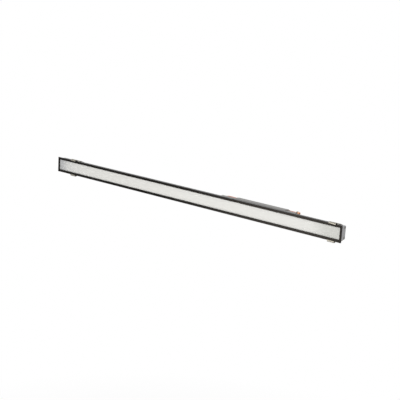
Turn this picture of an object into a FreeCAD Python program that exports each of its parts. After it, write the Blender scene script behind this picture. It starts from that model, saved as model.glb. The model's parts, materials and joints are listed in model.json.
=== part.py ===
import FreeCAD, Part
import math
import os
import Sketcher

# A linear wall washer: a long black extrusion with an opal front, carried by two spring clips
# that tilt on wall brackets, with its driver in a tray on the back.
# X runs along the light, Y into the wall and Z up. The wall is the plane y = 0.
# Most sizes are given as a depth behind the front face, which stands stand_off in front of the wall.

VECTOR = FreeCAD.Vector

DIMENSIONS = {
    # overall and front frame
    "face_length": 1000.0,
    "face_height": 44.0,
    "stand_off": 52.0,
    "frame_thick": 3.0,
    "rail_wide": 6.8,
    "bar_wide": 5.1,
    "frame_chamfer": 0.5,
    "joint_gap": 0.15,
    # extruded housing
    "ear_reach": 3.8,
    "housing_deep": 26.0,
    "side_wall": 1.8,
    "back_wall": 2.2,
    "back_radius": 4.4,
    "ear_thick": 1.2,
    "ear_setback": 0.4,
    "ledge_wide": 2.0,
    "ledge_thick": 1.6,
    "port_block": 6.4,
    "port_deep": 5.2,
    "port_inset": 3.5,
    "port_bore": 1.5,
    "rib_wide": 1.6,
    "rib_deep": 0.9,
    "rib_pitch": 4.0,
    "rib_count": 5,
    # front plate and its seal
    "diffuser_thick": 2.5,
    "diffuser_play": 0.3,
    "gasket_thick": 1.2,
    # end caps
    "cap_thick": 4.0,
    "cap_inset": 3.4,
    "cap_rim": 1.0,
    "cap_gasket": 0.8,
    "cap_bore": 1.7,
    "cap_sink": 3.1,
    "cap_sink_deep": 2.0,
    "cap_round": 0.8,
    # fasteners
    "small_head": 1.6,
    "small_head_high": 1.2,
    "small_shank": 0.9,
    "small_long": 3.2,
    "small_clear": 1.05,
    "frame_screws": 10,
    "frame_screw_end": 32.0,
    "frame_screw_edge": 1.95,
    "bar_screw_edge": 1.7,
    "bar_screw_z": 12.0,
    "cap_screw_head": 2.8,
    "cap_screw_head_high": 1.7,
    "cap_screw_shank": 1.4,
    "cap_screw_long": 14.0,
    "slot_wide": 0.8,
    "slot_long": 3.2,
    "slot_deep": 0.9,
    "panel_head": 2.6,
    "panel_head_high": 1.7,
    "panel_shank": 1.4,
    "panel_clear": 1.5,
    "panel_bite": 3.0,
    # light engine
    "board_gap": 1.5,
    "board_wide": 16.0,
    "board_thick": 1.6,
    "pad_thick": 0.3,
    "led_long": 3.0,
    "led_wide": 2.8,
    "led_high": 0.8,
    "reflector_thick": 0.5,
    # spring clips
    "clip_wide": 19.5,
    "clip_thick": 1.0,
    "clip_play": 0.25,
    "clip_left_inset": 66.0,
    "clip_right_inset": 27.7,
    "clip_spring": 8.5,
    "clip_draw": 3.6,
    "clip_rise": 2.4,
    "clip_drop": 3.2,
    "clip_lap": 0.9,
    "clip_shoulder": 2.0,
    "clip_slope": 6.5,
    "clip_bend": 1.5,
    # tilt brackets
    "pivot_depth": 42.0,
    "pivot_z": -12.0,
    "pivot_radius": 2.5,
    "pivot_play": 0.05,
    "ear_radius": 5.0,
    "arm_thick": 1.5,
    "arm_top": 9.0,
    "arm_reach": 9.0,
    "wall_thick": 2.0,
    "wall_wide": 20.0,
    "wall_low": -32.0,
    "wall_top": 6.0,
    "wall_hole": 2.25,
    "wall_hole_gap": 26.0,
    "wall_corner": 3.0,
    "washer_thick": 0.6,
    "bolt_head": 4.25,
    "bolt_head_high": 3.0,
    "bolt_socket": 1.7,
    "nut_flat": 8.0,
    "nut_high": 4.8,
    # driver tray and driver
    "tray_left": 106.0,
    "tray_right": 344.5,
    "tray_low": -16.0,
    "tray_top": 16.2,
    "tray_deep": 38.0,
    "tray_thick": 1.2,
    "tray_bend": 2.0,
    "tray_notch_play": 0.4,
    "tray_screw_z": 11.6,
    "driver_left": 155.0,
    "driver_long": 160.0,
    "driver_low": -14.5,
    "driver_top": 17.6,
    "driver_back": 47.0,
    "driver_wall": 1.4,
    "driver_bend": 2.5,
    "driver_groove": 0.5,
    "driver_groove_wide": 1.2,
    "driver_groove_pitch": 4.0,
    "driver_grooves": 6,
    "end_plate": 2.0,
    "foot_long": 6.5,
    "foot_thick": 1.5,
    "cable_radius": 2.3,
    "cable_play": 0.1,
    "cable_depth": 43.0,
    "cable_drop": 3.8,
    "grommet_long": 5.0,
    "grommet_wall": 0.5,
    "grommet_lip": 0.7,
    "inlet_radius": 3.4,
    "inlet_flange": 4.2,
    "inlet_flange_long": 2.0,
    "inlet_collar": 3.8,
    "inlet_collar_long": 3.6,
    "inlet_socket": 3.1,
    "inlet_pin_long": 3.0,
    "inlet_tail": 5.0,
    "entry_low": -15.0,
    "entry_top": -6.0,
    "sleeve_radius": 4.4,
    "sleeve_long": 10.0,
    "vent_x": -150.0,
    "vent_flat": 11.0,
    "vent_high": 4.0,
    "vent_bore": 2.6,
}

# the output cable's route from its bush on the driver to its entry in the housing, as distances
# from the bush's face: (x, depth, z)
OUTPUT_ROUTE = [
    (-2.0, 0.0, 0.0),
    (-14.0, 0.0, 0.0),
    (-25.0, -0.2, 0.5),
    (-36.0, -1.0, 0.2),
    (-46.0, -2.7, -3.4),
    (-53.5, -4.6, -10.2),
    (-57.5, -6.5, -18.0),
]

SHEET = "Dims"

doc = FreeCAD.newDocument("WallWasher")
sheet = doc.addObject("Spreadsheet::Sheet", SHEET)
for row, (alias, number) in enumerate(DIMENSIONS.items(), start=1):
    sheet.set(f"A{row}", alias)
    sheet.set(f"B{row}", str(number))
    sheet.setAlias(f"B{row}", alias)
doc.recompute()


class Size:
    """A length with its value in millimetres and the sheet expression that it comes from."""

    def __init__(self, value, text):
        self.value = float(value)
        self.text = text

    def __add__(self, other):
        other = as_size(other)
        return Size(self.value + other.value, f"({self.text} + {other.text})")

    def __sub__(self, other):
        other = as_size(other)
        return Size(self.value - other.value, f"({self.text} - {other.text})")

    def __mul__(self, other):
        other = as_size(other)
        return Size(self.value * other.value, f"({self.text} * {other.text})")

    def __truediv__(self, other):
        other = as_size(other)
        return Size(self.value / other.value, f"({self.text} / {other.text})")

    def __neg__(self):
        return Size(-self.value, f"(0 - {self.text})")


def as_size(number):
    return number if isinstance(number, Size) else Size(number, f"({float(number)!r})")


class Sheet:
    """The driving dimensions by name, such as dim.face_length."""

    def __getattr__(self, name):
        return Size(DIMENSIONS[name], f"{SHEET}.{name}")


dim = Sheet()
parts = []


def depth(behind_face):
    """The Y of a point that lies this far behind the front face."""
    return as_size(behind_face) - dim.stand_off


def bind(obj, path, size):
    obj.setExpression(path, as_size(size).text)


def keep(obj, label):
    """Registers a finished piece under the name it is written with."""
    obj.Label = label
    parts.append(obj)
    return obj


# ---------------------------------------------------------------- sketches and bodies

def new_body(name):
    body = doc.addObject("PartDesign::Body", name)
    bind(body, "Placement.Base.y", -dim.stand_off)
    return body


def origin_plane(body, role):
    return next(item for item in body.Origin.OriginFeatures if item.Role == role)


def sketch_on(body, role, offset=None):
    """A sketch on one of the body's own planes: YZ looks along X, XZ along Y, XY along Z."""
    sketch = body.newObject("Sketcher::SketchObject", body.Name + "_sketch")
    sketch.AttachmentSupport = [(origin_plane(body, role), "")]
    sketch.MapMode = "FlatFace"
    if offset is not None:
        bind(sketch, "AttachmentOffset.Base.z", offset)
    return sketch


def fix_point(sketch, index, point, u, v):
    """Ties a point of the sketch to its coordinates in the sheet."""
    for kind, size in (("DistanceX", u), ("DistanceY", v)):
        number = sketch.addConstraint(Sketcher.Constraint(kind, -1, 1, index, point, size.value))
        bind(sketch, f"Constraints[{number}]", size)


def corner_arc(before, corner, after, radius):
    """The arc that rounds a corner: its two ends and its middle."""
    into = (corner - before).normalize()
    out = (after - corner).normalize()
    half_turn = into.getAngle(out) / 2
    reach = radius * math.tan(half_turn)
    start = corner - into * reach
    end = corner + out * reach
    inward = (out - into).normalize()
    middle = corner + inward * (radius / math.cos(half_turn) - radius)
    return start, middle, end


def outline(sketch, corners, closed=True):
    """Draws a line through corners (u, v) or (u, v, radius), with tangent arcs at the rounded ones."""
    corners = [tuple(as_size(number) for number in corner) for corner in corners]
    spots = [VECTOR(corner[0].value, corner[1].value, 0) for corner in corners]
    count = len(corners)
    starts = list(spots)
    ends = list(spots)
    arcs = {}
    for i, corner in enumerate(corners):
        if len(corner) == 3:
            start, middle, end = corner_arc(spots[i - 1], spots[i], spots[(i + 1) % count], corner[2].value)
            starts[i] = end
            ends[i] = start
            # a sketch keeps every arc anticlockwise, so one that turns right is drawn from its far end
            turns_left = (spots[i] - start).cross(end - spots[i]).z > 0
            points = (start, middle, end) if turns_left else (end, middle, start)
            arc = sketch.addGeometry(Part.Arc(*points), False)
            arcs[i] = (arc, 1, 2) if turns_left else (arc, 2, 1)
    spans = count if closed else count - 1
    lines = [
        sketch.addGeometry(Part.LineSegment(starts[i], ends[(i + 1) % count]), False)
        for i in range(spans)
    ]
    for i, corner in enumerate(corners):
        arrives = lines[i - 1] if closed or i > 0 else None
        leaves = lines[i] if i < spans else None
        if i in arcs:
            arc, first, last = arcs[i]
            knot = sketch.addGeometry(Part.Point(spots[i]), True)
            fix_point(sketch, knot, 1, corner[0], corner[1])
            sketch.addConstraint(Sketcher.Constraint("PointOnObject", knot, 1, arrives))
            sketch.addConstraint(Sketcher.Constraint("PointOnObject", knot, 1, leaves))
            sketch.addConstraint(Sketcher.Constraint("Tangent", arrives, 2, arc, first))
            sketch.addConstraint(Sketcher.Constraint("Tangent", arc, last, leaves, 1))
            number = sketch.addConstraint(Sketcher.Constraint("Radius", arc, corner[2].value))
            bind(sketch, f"Constraints[{number}]", corner[2])
        elif arrives is not None and leaves is not None:
            sketch.addConstraint(Sketcher.Constraint("Coincident", arrives, 2, leaves, 1))
            fix_point(sketch, leaves, 1, corner[0], corner[1])
        elif leaves is not None:
            fix_point(sketch, leaves, 1, corner[0], corner[1])
        else:
            fix_point(sketch, arrives, 2, corner[0], corner[1])


def rectangle(sketch, u, v, radius=None):
    (u0, u1), (v0, v1) = u, v
    corners = [(u0, v0), (u1, v0), (u1, v1), (u0, v1)]
    outline(sketch, corners if radius is None else [(a, b, radius) for a, b in corners])


def circle(sketch, u, v, radius):
    u, v, radius = as_size(u), as_size(v), as_size(radius)
    ring = Part.Circle(VECTOR(u.value, v.value, 0), VECTOR(0, 0, 1), radius.value)
    index = sketch.addGeometry(ring, False)
    fix_point(sketch, index, 3, u, v)
    number = sketch.addConstraint(Sketcher.Constraint("Radius", index, radius.value))
    bind(sketch, f"Constraints[{number}]", radius)


def pad(body, sketch, length, both_ways=False, reverse=False):
    feature = body.newObject("PartDesign::Pad", body.Name + "_pad")
    feature.Profile = sketch
    bind(feature, "Length", length)
    feature.SideType = "Symmetric" if both_ways else "One side"
    feature.Reversed = reverse
    doc.recompute()
    return feature


def pocket(body, sketch, length=None, reverse=False):
    """Cuts the sketch into the body, right through it both ways if no length is given."""
    before = body.Shape.Volume
    feature = body.newObject("PartDesign::Pocket", body.Name + "_pocket")
    feature.Profile = sketch
    if length is None:
        feature.Type = "ThroughAll"
        feature.SideType = "Symmetric"
    else:
        bind(feature, "Length", length)
    feature.Reversed = reverse
    doc.recompute()
    if body.Shape.Volume > before - 1e-3:
        raise RuntimeError(f"the pocket in {body.Name} cuts nothing")
    return feature


def repeat(body, feature, role, count, span, second=None):
    """Repeats a feature along the normal of one or two planes: (role, count, span)."""
    pattern = body.newObject("PartDesign::LinearPattern", body.Name + "_row")
    pattern.Originals = [feature]
    pattern.Direction = (origin_plane(body, role), "")
    bind(pattern, "Length", span)
    bind(pattern, "Occurrences", count)
    if second is not None:
        role, count, span = second
        pattern.Direction2 = (origin_plane(body, role), "")
        bind(pattern, "Length2", span)
        bind(pattern, "Occurrences2", count)
    body.Tip = pattern
    doc.recompute()
    return pattern


def round_face(body, feature, x, radius):
    """Rounds the outline of the feature's flat face that lies at this x."""
    shape = feature.Shape
    number = next(
        i for i, face in enumerate(shape.Faces, start=1)
        if abs(face.BoundBox.XMin - x.value) < 1e-4 and face.BoundBox.XLength < 1e-4
    )
    fillet = body.newObject("PartDesign::Fillet", body.Name + "_rounding")
    fillet.Base = (feature, [f"Face{number}"])
    bind(fillet, "Radius", radius)
    doc.recompute()
    return fillet


def mirror_across(body):
    """Turns a symmetric end piece half round, so that it sits at the other end."""
    body.Placement = FreeCAD.Placement(VECTOR(), FreeCAD.Rotation(VECTOR(0, 1, 0), 180))
    bind(body, "Placement.Base.y", -dim.stand_off)


# ---------------------------------------------------------------- solid primitives

ALONG_X = FreeCAD.Rotation(VECTOR(0, 1, 0), 90)
ALONG_Y = FreeCAD.Rotation(VECTOR(1, 0, 0), -90)
LOOKING_ALONG_X = FreeCAD.Rotation(0.5, 0.5, 0.5, 0.5)


def place(obj, x, y, z, rotation=None):
    obj.Placement = FreeCAD.Placement(VECTOR(), rotation or FreeCAD.Rotation())
    for path, size in (("x", x), ("y", y), ("z", z)):
        bind(obj, f"Placement.Base.{path}", size)
    return obj


def block(name, x, y, z):
    """A box between two values on each axis, with y as depths behind the face."""
    (x0, x1), (y0, y1), (z0, z1) = ((as_size(a), as_size(b)) for a, b in (x, y, z))
    box = doc.addObject("Part::Box", name)
    bind(box, "Length", x1 - x0)
    bind(box, "Width", y1 - y0)
    bind(box, "Height", z1 - z0)
    return place(box, x0, depth(y0), z0)


def rod_along_x(name, x, behind, z, radius):
    rod = doc.addObject("Part::Cylinder", name)
    bind(rod, "Radius", radius)
    bind(rod, "Height", as_size(x[1]) - x[0])
    return place(rod, x[0], depth(behind), z, ALONG_X)


def rod_along_y(name, x, behind, z, radius):
    rod = doc.addObject("Part::Cylinder", name)
    bind(rod, "Radius", radius)
    bind(rod, "Height", as_size(behind[1]) - behind[0])
    return place(rod, x, depth(behind[0]), z, ALONG_Y)


def hexagon(name, flats, high):
    prism = doc.addObject("Part::Prism", name)
    prism.Polygon = 6
    bind(prism, "Circumradius", as_size(flats) / math.sqrt(3))
    bind(prism, "Height", high)
    return prism


def fuse(name, pieces):
    joined = doc.addObject("Part::MultiFuse", name)
    joined.Shapes = pieces
    return joined


def cut(name, base, tool):
    result = doc.addObject("Part::Cut", name)
    result.Base = base
    result.Tool = tool
    return result


def group(name, pieces):
    bundle = doc.addObject("Part::Compound", name)
    bundle.Links = pieces
    return bundle


# ---------------------------------------------------------------- places that several pieces share

half_face = dim.face_height / 2
half_housing = half_face - dim.ear_reach
half_length = dim.face_length / 2
inner_wall = half_housing - dim.side_wall
ledge_depth = dim.frame_thick + dim.diffuser_thick + dim.gasket_thick
ear_back = dim.frame_thick + dim.ear_thick
ear_edge = half_face - dim.ear_setback
cap_outer = half_length - dim.cap_inset
cap_inner = cap_outer - dim.cap_thick
profile_end = cap_inner - dim.cap_gasket
opening_x = half_length - dim.bar_wide
back_wall_inner = dim.housing_deep - dim.back_wall
port_front = back_wall_inner - dim.port_deep
port_side = inner_wall - dim.port_block
port_depth = port_front + dim.port_deep / 2
port_z = inner_wall - dim.port_inset
frame_screw_span = (half_length - dim.frame_screw_end) * 2
frame_screw_z = half_face - dim.frame_screw_edge
bar_screw_x = half_length - dim.bar_screw_edge
clip_back = dim.housing_deep + dim.clip_spring
tray_back = dim.housing_deep + dim.tray_thick
driver_right = dim.driver_left + dim.driver_long
inlet_tab = dim.tray_right - dim.tray_thick
cable_z = dim.driver_top - dim.cable_drop
clip_centres = {
    "left": dim.clip_left_inset - half_length,
    "right": half_length - dim.clip_right_inset,
}
cable_route = [
    (dim.driver_left + x, dim.cable_depth + behind, cable_z + z)
    for x, behind, z in OUTPUT_ROUTE
]
route_end = cable_route[-1]
entry_x = route_end[0] - 3.5
entry_z = (dim.entry_low + dim.entry_top) / 2


# ---------------------------------------------------------------- housing and front

def housing_profile():
    """The black extrusion, open at the front, with screw ports in its back corners."""
    body = new_body("housing_profile")
    inner = [
        (dim.frame_thick, inner_wall),
        (ledge_depth, inner_wall),
        (ledge_depth, inner_wall - dim.ledge_wide),
        (ledge_depth + dim.ledge_thick, inner_wall - dim.ledge_wide),
        (ledge_depth + dim.ledge_thick, inner_wall),
        (port_front, inner_wall),
        (port_front, port_side),
        (back_wall_inner, port_side),
    ]
    outer = [
        (dim.housing_deep, -half_housing, dim.back_radius),
        (dim.housing_deep, half_housing, dim.back_radius),
        (ear_back, half_housing),
        (ear_back, ear_edge),
        (dim.frame_thick, ear_edge),
    ]
    lower_inner = [(d, -z) for d, z in reversed(inner)]
    lower_outer = [(dim.frame_thick, -ear_edge), (ear_back, -ear_edge), (ear_back, -half_housing)]
    section = sketch_on(body, "YZ_Plane")
    outline(section, inner + lower_inner + lower_outer + outer)
    pad(body, section, profile_end * 2, both_ways=True)

    ports = sketch_on(body, "YZ_Plane")
    for z in (port_z, -port_z):
        circle(ports, port_depth, z, dim.port_bore)
    pocket(body, ports)

    holes = sketch_on(body, "XZ_Plane", -dim.frame_thick)
    for z in (frame_screw_z, -frame_screw_z):
        circle(holes, -frame_screw_span / 2, z, dim.small_clear)
    ear_holes = pocket(body, holes, dim.ear_thick, reverse=False)
    repeat(body, ear_holes, "YZ_Plane", dim.frame_screws, frame_screw_span)

    low_rib = -dim.rib_pitch * (dim.rib_count - 1) / 2
    groove = sketch_on(body, "YZ_Plane")
    rectangle(
        groove,
        (dim.housing_deep - dim.rib_deep, dim.housing_deep + 1),
        (low_rib - dim.rib_wide / 2, low_rib + dim.rib_wide / 2),
    )
    rib = pocket(body, groove)
    repeat(body, rib, "XY_Plane", dim.rib_count, dim.rib_pitch * (dim.rib_count - 1))

    entries = sketch_on(body, "XZ_Plane", -dim.housing_deep)
    circle(entries, dim.vent_x, 0, dim.vent_bore)
    circle(entries, entry_x, entry_z, entry_bore)
    for x in tray_screw_x:
        for z in (dim.tray_screw_z, -dim.tray_screw_z):
            circle(entries, x, z, dim.panel_shank + 0.05)
    pocket(body, entries, dim.panel_bite, reverse=True)
    return keep(body, "housing_profile")


def frame_rail(label, side):
    """The long strip of the front frame, chamfered along its front edges."""
    body = new_body(label)
    chamfer = dim.frame_chamfer
    low = half_face - dim.rail_wide
    corners = [
        (0, low + chamfer),
        (0, half_face - chamfer),
        (chamfer, half_face),
        (dim.frame_thick, half_face),
        (dim.frame_thick, low),
        (chamfer, low),
    ]
    section = sketch_on(body, "YZ_Plane")
    outline(section, [(d, as_size(z) * side) for d, z in corners])
    pad(body, section, opening_x * 2 - dim.joint_gap, both_ways=True)
    holes = sketch_on(body, "XZ_Plane", -dim.frame_thick)
    circle(holes, -frame_screw_span / 2, frame_screw_z * side, dim.small_shank + 0.05)
    tapped = pocket(body, holes, dim.small_long - dim.ear_thick + 0.2, reverse=True)
    repeat(body, tapped, "YZ_Plane", dim.frame_screws, frame_screw_span)
    return keep(body, label)


def frame_bar(label, left):
    """The short upright at each end of the front frame."""
    body = new_body(label)
    chamfer = dim.frame_chamfer
    corners = [
        (opening_x, chamfer),
        (opening_x + chamfer, 0),
        (half_length - chamfer, 0),
        (half_length, chamfer),
        (half_length, dim.frame_thick),
        (opening_x, dim.frame_thick),
    ]
    section = sketch_on(body, "XY_Plane")
    outline(section, corners)
    pad(body, section, dim.face_height, both_ways=True)
    holes = sketch_on(body, "XZ_Plane", -dim.frame_thick)
    for z in (dim.bar_screw_z, -dim.bar_screw_z):
        circle(holes, bar_screw_x, z, dim.small_shank + 0.05)
    pocket(body, holes, dim.small_long - dim.ear_thick + 0.2, reverse=True)
    if left:
        mirror_across(body)
    return keep(body, label)


def small_screws():
    """The screws that hold the front frame from behind, through the ears of housing and caps."""
    body = new_body("frame_screws_long")
    body.AllowCompound = True
    shanks = sketch_on(body, "XZ_Plane", -(ear_back - dim.small_long))
    circle(shanks, -frame_screw_span / 2, -frame_screw_z, dim.small_shank)
    shank = pad(body, shanks, dim.small_long, reverse=True)
    heads = sketch_on(body, "XZ_Plane", -ear_back)
    circle(heads, -frame_screw_span / 2, -frame_screw_z, dim.small_head)
    head = pad(body, heads, dim.small_head_high, reverse=True)
    row = repeat(
        body, shank, "YZ_Plane", dim.frame_screws, frame_screw_span,
        ("XY_Plane", Size(2, "2"), frame_screw_z * 2),
    )
    row.Originals = [shank, head]
    doc.recompute()
    corner_screws = []
    for i, x in enumerate((-bar_screw_x, bar_screw_x)):
        for k, z in enumerate((-dim.bar_screw_z, dim.bar_screw_z)):
            name = f"bar_screw_{i}{k}"
            head = (ear_back, ear_back + dim.small_head_high)
            corner_screws.append(fuse(name, [
                rod_along_y(name + "_shank", x, (ear_back - dim.small_long, ear_back), z, dim.small_shank),
                rod_along_y(name + "_head", x, head, z, dim.small_head),
            ]))
    return keep(group("frame_screws", [body] + corner_screws), "frame_screws")


def diffuser():
    """The opal plate behind the frame."""
    body = new_body("diffuser")
    front = sketch_on(body, "XZ_Plane", -dim.frame_thick)
    half_x = cap_outer - dim.cap_rim - dim.diffuser_play
    half_z = inner_wall - dim.diffuser_play
    rectangle(front, (-half_x, half_x), (-half_z, half_z), 1.0)
    pad(body, front, dim.diffuser_thick, reverse=True)
    return keep(body, "diffuser")


def diffuser_gasket():
    """The flat silicone ring that the plate is pressed on."""
    body = new_body("diffuser_gasket")
    front = sketch_on(body, "XZ_Plane", -(dim.frame_thick + dim.diffuser_thick))
    half_x = cap_outer - dim.cap_rim - dim.diffuser_play
    half_z = inner_wall - dim.diffuser_play
    rectangle(front, (-half_x, half_x), (-half_z, half_z), 1.0)
    inside_x = cap_inner + 0.4
    inside_z = inner_wall - dim.ledge_wide + 0.2
    rectangle(front, (-inside_x, inside_x), (-inside_z, inside_z))
    pad(body, front, dim.gasket_thick, reverse=True)
    return keep(body, "diffuser_gasket")


# ---------------------------------------------------------------- ends

def end_cap(label, left):
    """The grey casting that closes an end, with an ear for the frame and two sunk screw seats."""
    body = new_body(label)
    section = sketch_on(body, "YZ_Plane", cap_inner)
    outline(section, [
        (dim.frame_thick, -half_housing),
        (dim.housing_deep, -half_housing, dim.back_radius),
        (dim.housing_deep, half_housing, dim.back_radius),
        (dim.frame_thick, half_housing),
    ])
    plate = pad(body, section, dim.cap_thick)
    round_face(body, plate, cap_outer, dim.cap_round)
    ear = sketch_on(body, "XZ_Plane", -dim.frame_thick)
    rectangle(ear, (cap_inner, half_length - dim.ear_setback), (-ear_edge, ear_edge))
    pad(body, ear, dim.ear_thick, reverse=True)
    rebate = sketch_on(body, "XZ_Plane", -dim.frame_thick)
    rectangle(rebate, (cap_inner - 1, cap_outer - dim.cap_rim), (-inner_wall, inner_wall))
    pocket(body, rebate, dim.diffuser_thick + dim.gasket_thick)
    seats = sketch_on(body, "YZ_Plane", cap_outer)
    holes = sketch_on(body, "YZ_Plane", cap_outer)
    for z in (port_z, -port_z):
        circle(seats, port_depth, z, dim.cap_sink)
        circle(holes, port_depth, z, dim.cap_bore)
    pocket(body, seats, dim.cap_sink_deep)
    pocket(body, holes)
    ears = sketch_on(body, "XZ_Plane", -dim.frame_thick)
    for z in (dim.bar_screw_z, -dim.bar_screw_z):
        circle(ears, bar_screw_x, z, dim.small_clear)
    pocket(body, ears, dim.ear_thick)
    if left:
        mirror_across(body)
    return keep(body, label)


def end_gasket(label, left):
    """The silicone sheet between an end cap and the extrusion."""
    body = new_body(label)
    section = sketch_on(body, "YZ_Plane", profile_end)
    outline(section, [
        (ledge_depth, -half_housing),
        (dim.housing_deep, -half_housing, dim.back_radius),
        (dim.housing_deep, half_housing, dim.back_radius),
        (ledge_depth, half_housing),
    ])
    outline(section, [
        (ledge_depth + dim.ledge_thick, -inner_wall),
        (port_front, -inner_wall),
        (port_front, -port_side),
        (back_wall_inner, -port_side),
        (back_wall_inner, port_side),
        (port_front, port_side),
        (port_front, inner_wall),
        (ledge_depth + dim.ledge_thick, inner_wall),
    ])
    for z in (port_z, -port_z):
        circle(section, port_depth, z, dim.cap_bore)
    pad(body, section, dim.cap_gasket)
    if left:
        mirror_across(body)
    return keep(body, label)


def end_cap_screws():
    """Cross-slotted tapping screws, sunk in the caps."""
    screws = []
    seat = cap_outer - dim.cap_sink_deep
    for name, turned in (("right", False), ("left", True)):
        for k, z in enumerate((port_z, -port_z)):
            tag = f"cap_screw_{name}_{k}"
            head_end = seat + dim.cap_screw_head_high
            tip = seat - dim.cap_screw_long
            solid = fuse(tag + "_solid", [
                rod_along_x(tag + "_head", (seat, head_end), port_depth, z, dim.cap_screw_head),
                rod_along_x(tag + "_shank", (tip, seat), port_depth, z, dim.cap_screw_shank),
            ])
            slot_x = (head_end - dim.slot_deep, head_end + 1)
            long, wide = dim.slot_long / 2, dim.slot_wide / 2
            cross = fuse(tag + "_cross", [
                block(tag + "_slot_a", slot_x, (port_depth - long, port_depth + long), (z - wide, z + wide)),
                block(tag + "_slot_b", slot_x, (port_depth - wide, port_depth + wide), (z - long, z + long)),
            ])
            screw = cut(tag, solid, cross)
            if turned:
                screw.Placement = FreeCAD.Placement(VECTOR(), FreeCAD.Rotation(VECTOR(0, 0, 1), 180))
                # a half turn about Z also flips the depth, so the screw is shifted back to its port
                bind(screw, "Placement.Base.y", depth(port_depth) * 2)
            screws.append(screw)
    return keep(group("end_cap_screws", screws), "end_cap_screws")


# ---------------------------------------------------------------- light engine

def light_engine():
    """Four boards of light diodes on a thermal pad, between two white side reflectors."""
    pad_front = back_wall_inner - dim.pad_thick
    board_front = pad_front - dim.board_thick
    half_board = dim.board_wide / 2
    board_pitch = profile_end / 2
    board_long = board_pitch - dim.board_gap
    led_pitch = board_long / 16
    keep(block(
        "thermal_pad", (-profile_end, profile_end), (pad_front, back_wall_inner), (-half_board, half_board),
    ), "thermal_pad")
    for i in range(4):
        middle = board_pitch * (i - 1.5)
        start = middle - board_long / 2
        end = middle + board_long / 2
        keep(block(
            f"led_board_{i + 1}", (start, end), (board_front, pad_front), (-half_board, half_board),
        ), f"led_board_{i + 1}")
        diodes = []
        for k in range(16):
            x = start + led_pitch * (k + 0.5)
            diodes.append(block(
                f"diode_{i + 1}_{k + 1}",
                (x - dim.led_long / 2, x + dim.led_long / 2),
                (board_front - dim.led_high, board_front),
                (-dim.led_wide / 2, dim.led_wide / 2),
            ))
        keep(group(f"led_row_{i + 1}", diodes), f"led_row_{i + 1}")
    for label, side in (("reflector_top", 1), ("reflector_bottom", -1)):
        body = new_body(label)
        section = sketch_on(body, "YZ_Plane")
        outer = [
            (ledge_depth + dim.ledge_thick + 0.2, inner_wall - 0.2),
            (port_front - 0.3, port_side - 0.2),
            (board_front - 0.2, half_board + 0.4),
        ]
        inner = [(d, z - dim.reflector_thick * 1.2) for d, z in reversed(outer)]
        outline(section, [(d, z * side) for d, z in outer + inner])
        pad(body, section, profile_end * 2, both_ways=True)
        keep(body, label)


# ---------------------------------------------------------------- clips and wall brackets

def spring_clip(label, centre):
    """A sheet steel C that hooks over the front frame and hugs the housing."""
    line = doc.addObject("Sketcher::SketchObject", label + "_line")
    place(line, centre - dim.clip_wide / 2, -dim.stand_off, 0, LOOKING_ALONG_X)
    front = -(dim.clip_play + dim.clip_thick / 2)
    hug = half_housing + dim.clip_play + dim.clip_thick / 2
    bend = dim.clip_bend
    hook = half_face - dim.clip_lap
    high = half_face + dim.clip_rise
    low = -half_face - dim.clip_drop
    waist = half_housing - dim.clip_draw
    shoulder = dim.frame_thick + dim.clip_shoulder
    neck = shoulder + dim.clip_slope
    heel = dim.housing_deep - dim.back_wall
    top = [
        (front, hook),
        (front, high, bend),
        (shoulder, high, bend),
        (neck, hug, bend),
        (heel, hug, bend),
        (clip_back, waist, bend),
    ]
    bottom = [
        (clip_back, -waist, bend),
        (heel, -hug, bend),
        (neck, -hug, bend),
        (shoulder, low, bend),
        (front, low, bend),
        (front, -hook),
    ]
    outline(line, top + bottom, closed=False)
    strip = doc.addObject("Part::Offset2D", label + "_strip")
    strip.Source = line
    strip.Mode = "Pipe"
    strip.Fill = True
    bind(strip, "Value", dim.clip_thick / 2)
    doc.recompute()
    sheet_metal = doc.addObject("Part::Extrusion", label + "_sheet")
    sheet_metal.Base = strip
    sheet_metal.DirMode = "Custom"
    sheet_metal.Dir = VECTOR(1, 0, 0)
    sheet_metal.Solid = True
    bind(sheet_metal, "LengthFwd", dim.clip_wide)
    holes = rivet_holes(label, centre, clip_back + dim.clip_thick / 2)
    return keep(cut(label, sheet_metal, fuse(label + "_holes", holes)), label)


def rivet_x(centre):
    return centre - dim.arm_reach / 2 - 0.5


def rivet_holes(label, centre, behind):
    """The drills for the two rivets, through whatever lies within 3 mm of this depth."""
    return [
        rod_along_y(f"{label}_hole_{k}", rivet_x(centre), (behind - 3, behind + 3), z, rivet_radius + 0.05)
        for k, z in enumerate(rivet_z)
    ]


rivet_radius = Size(1.6, "1.6")
rivet_z = [Size(5.5, "5.5"), Size(-2.5, "(-2.5)")]


def tilt_arm(label, centre):
    """The angle riveted to a clip's back, whose ear turns on the pivot bolt."""
    clip_outer = clip_back + dim.clip_thick / 2
    right = centre + dim.arm_thick - 0.1
    ear_x = (centre - 0.1, right)
    low, high = dim.pivot_z - dim.ear_radius, dim.pivot_z + dim.ear_radius
    solid = fuse(label + "_solid", [
        block(label + "_base", (centre - dim.arm_reach, right), (clip_outer, clip_outer + dim.arm_thick),
              (dim.pivot_z, dim.arm_top)),
        block(label + "_ear", ear_x, (clip_outer, dim.pivot_depth), (low, high)),
        rod_along_x(label + "_eye", ear_x, dim.pivot_depth, dim.pivot_z, dim.ear_radius),
    ])
    bore = rod_along_x(label + "_bore", (centre - 1, right + 1), dim.pivot_depth, dim.pivot_z,
                       dim.pivot_radius + dim.pivot_play)
    holes = rivet_holes(label, centre, clip_outer)
    return keep(cut(label, solid, fuse(label + "_cuts", [bore] + holes)), label)


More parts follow.
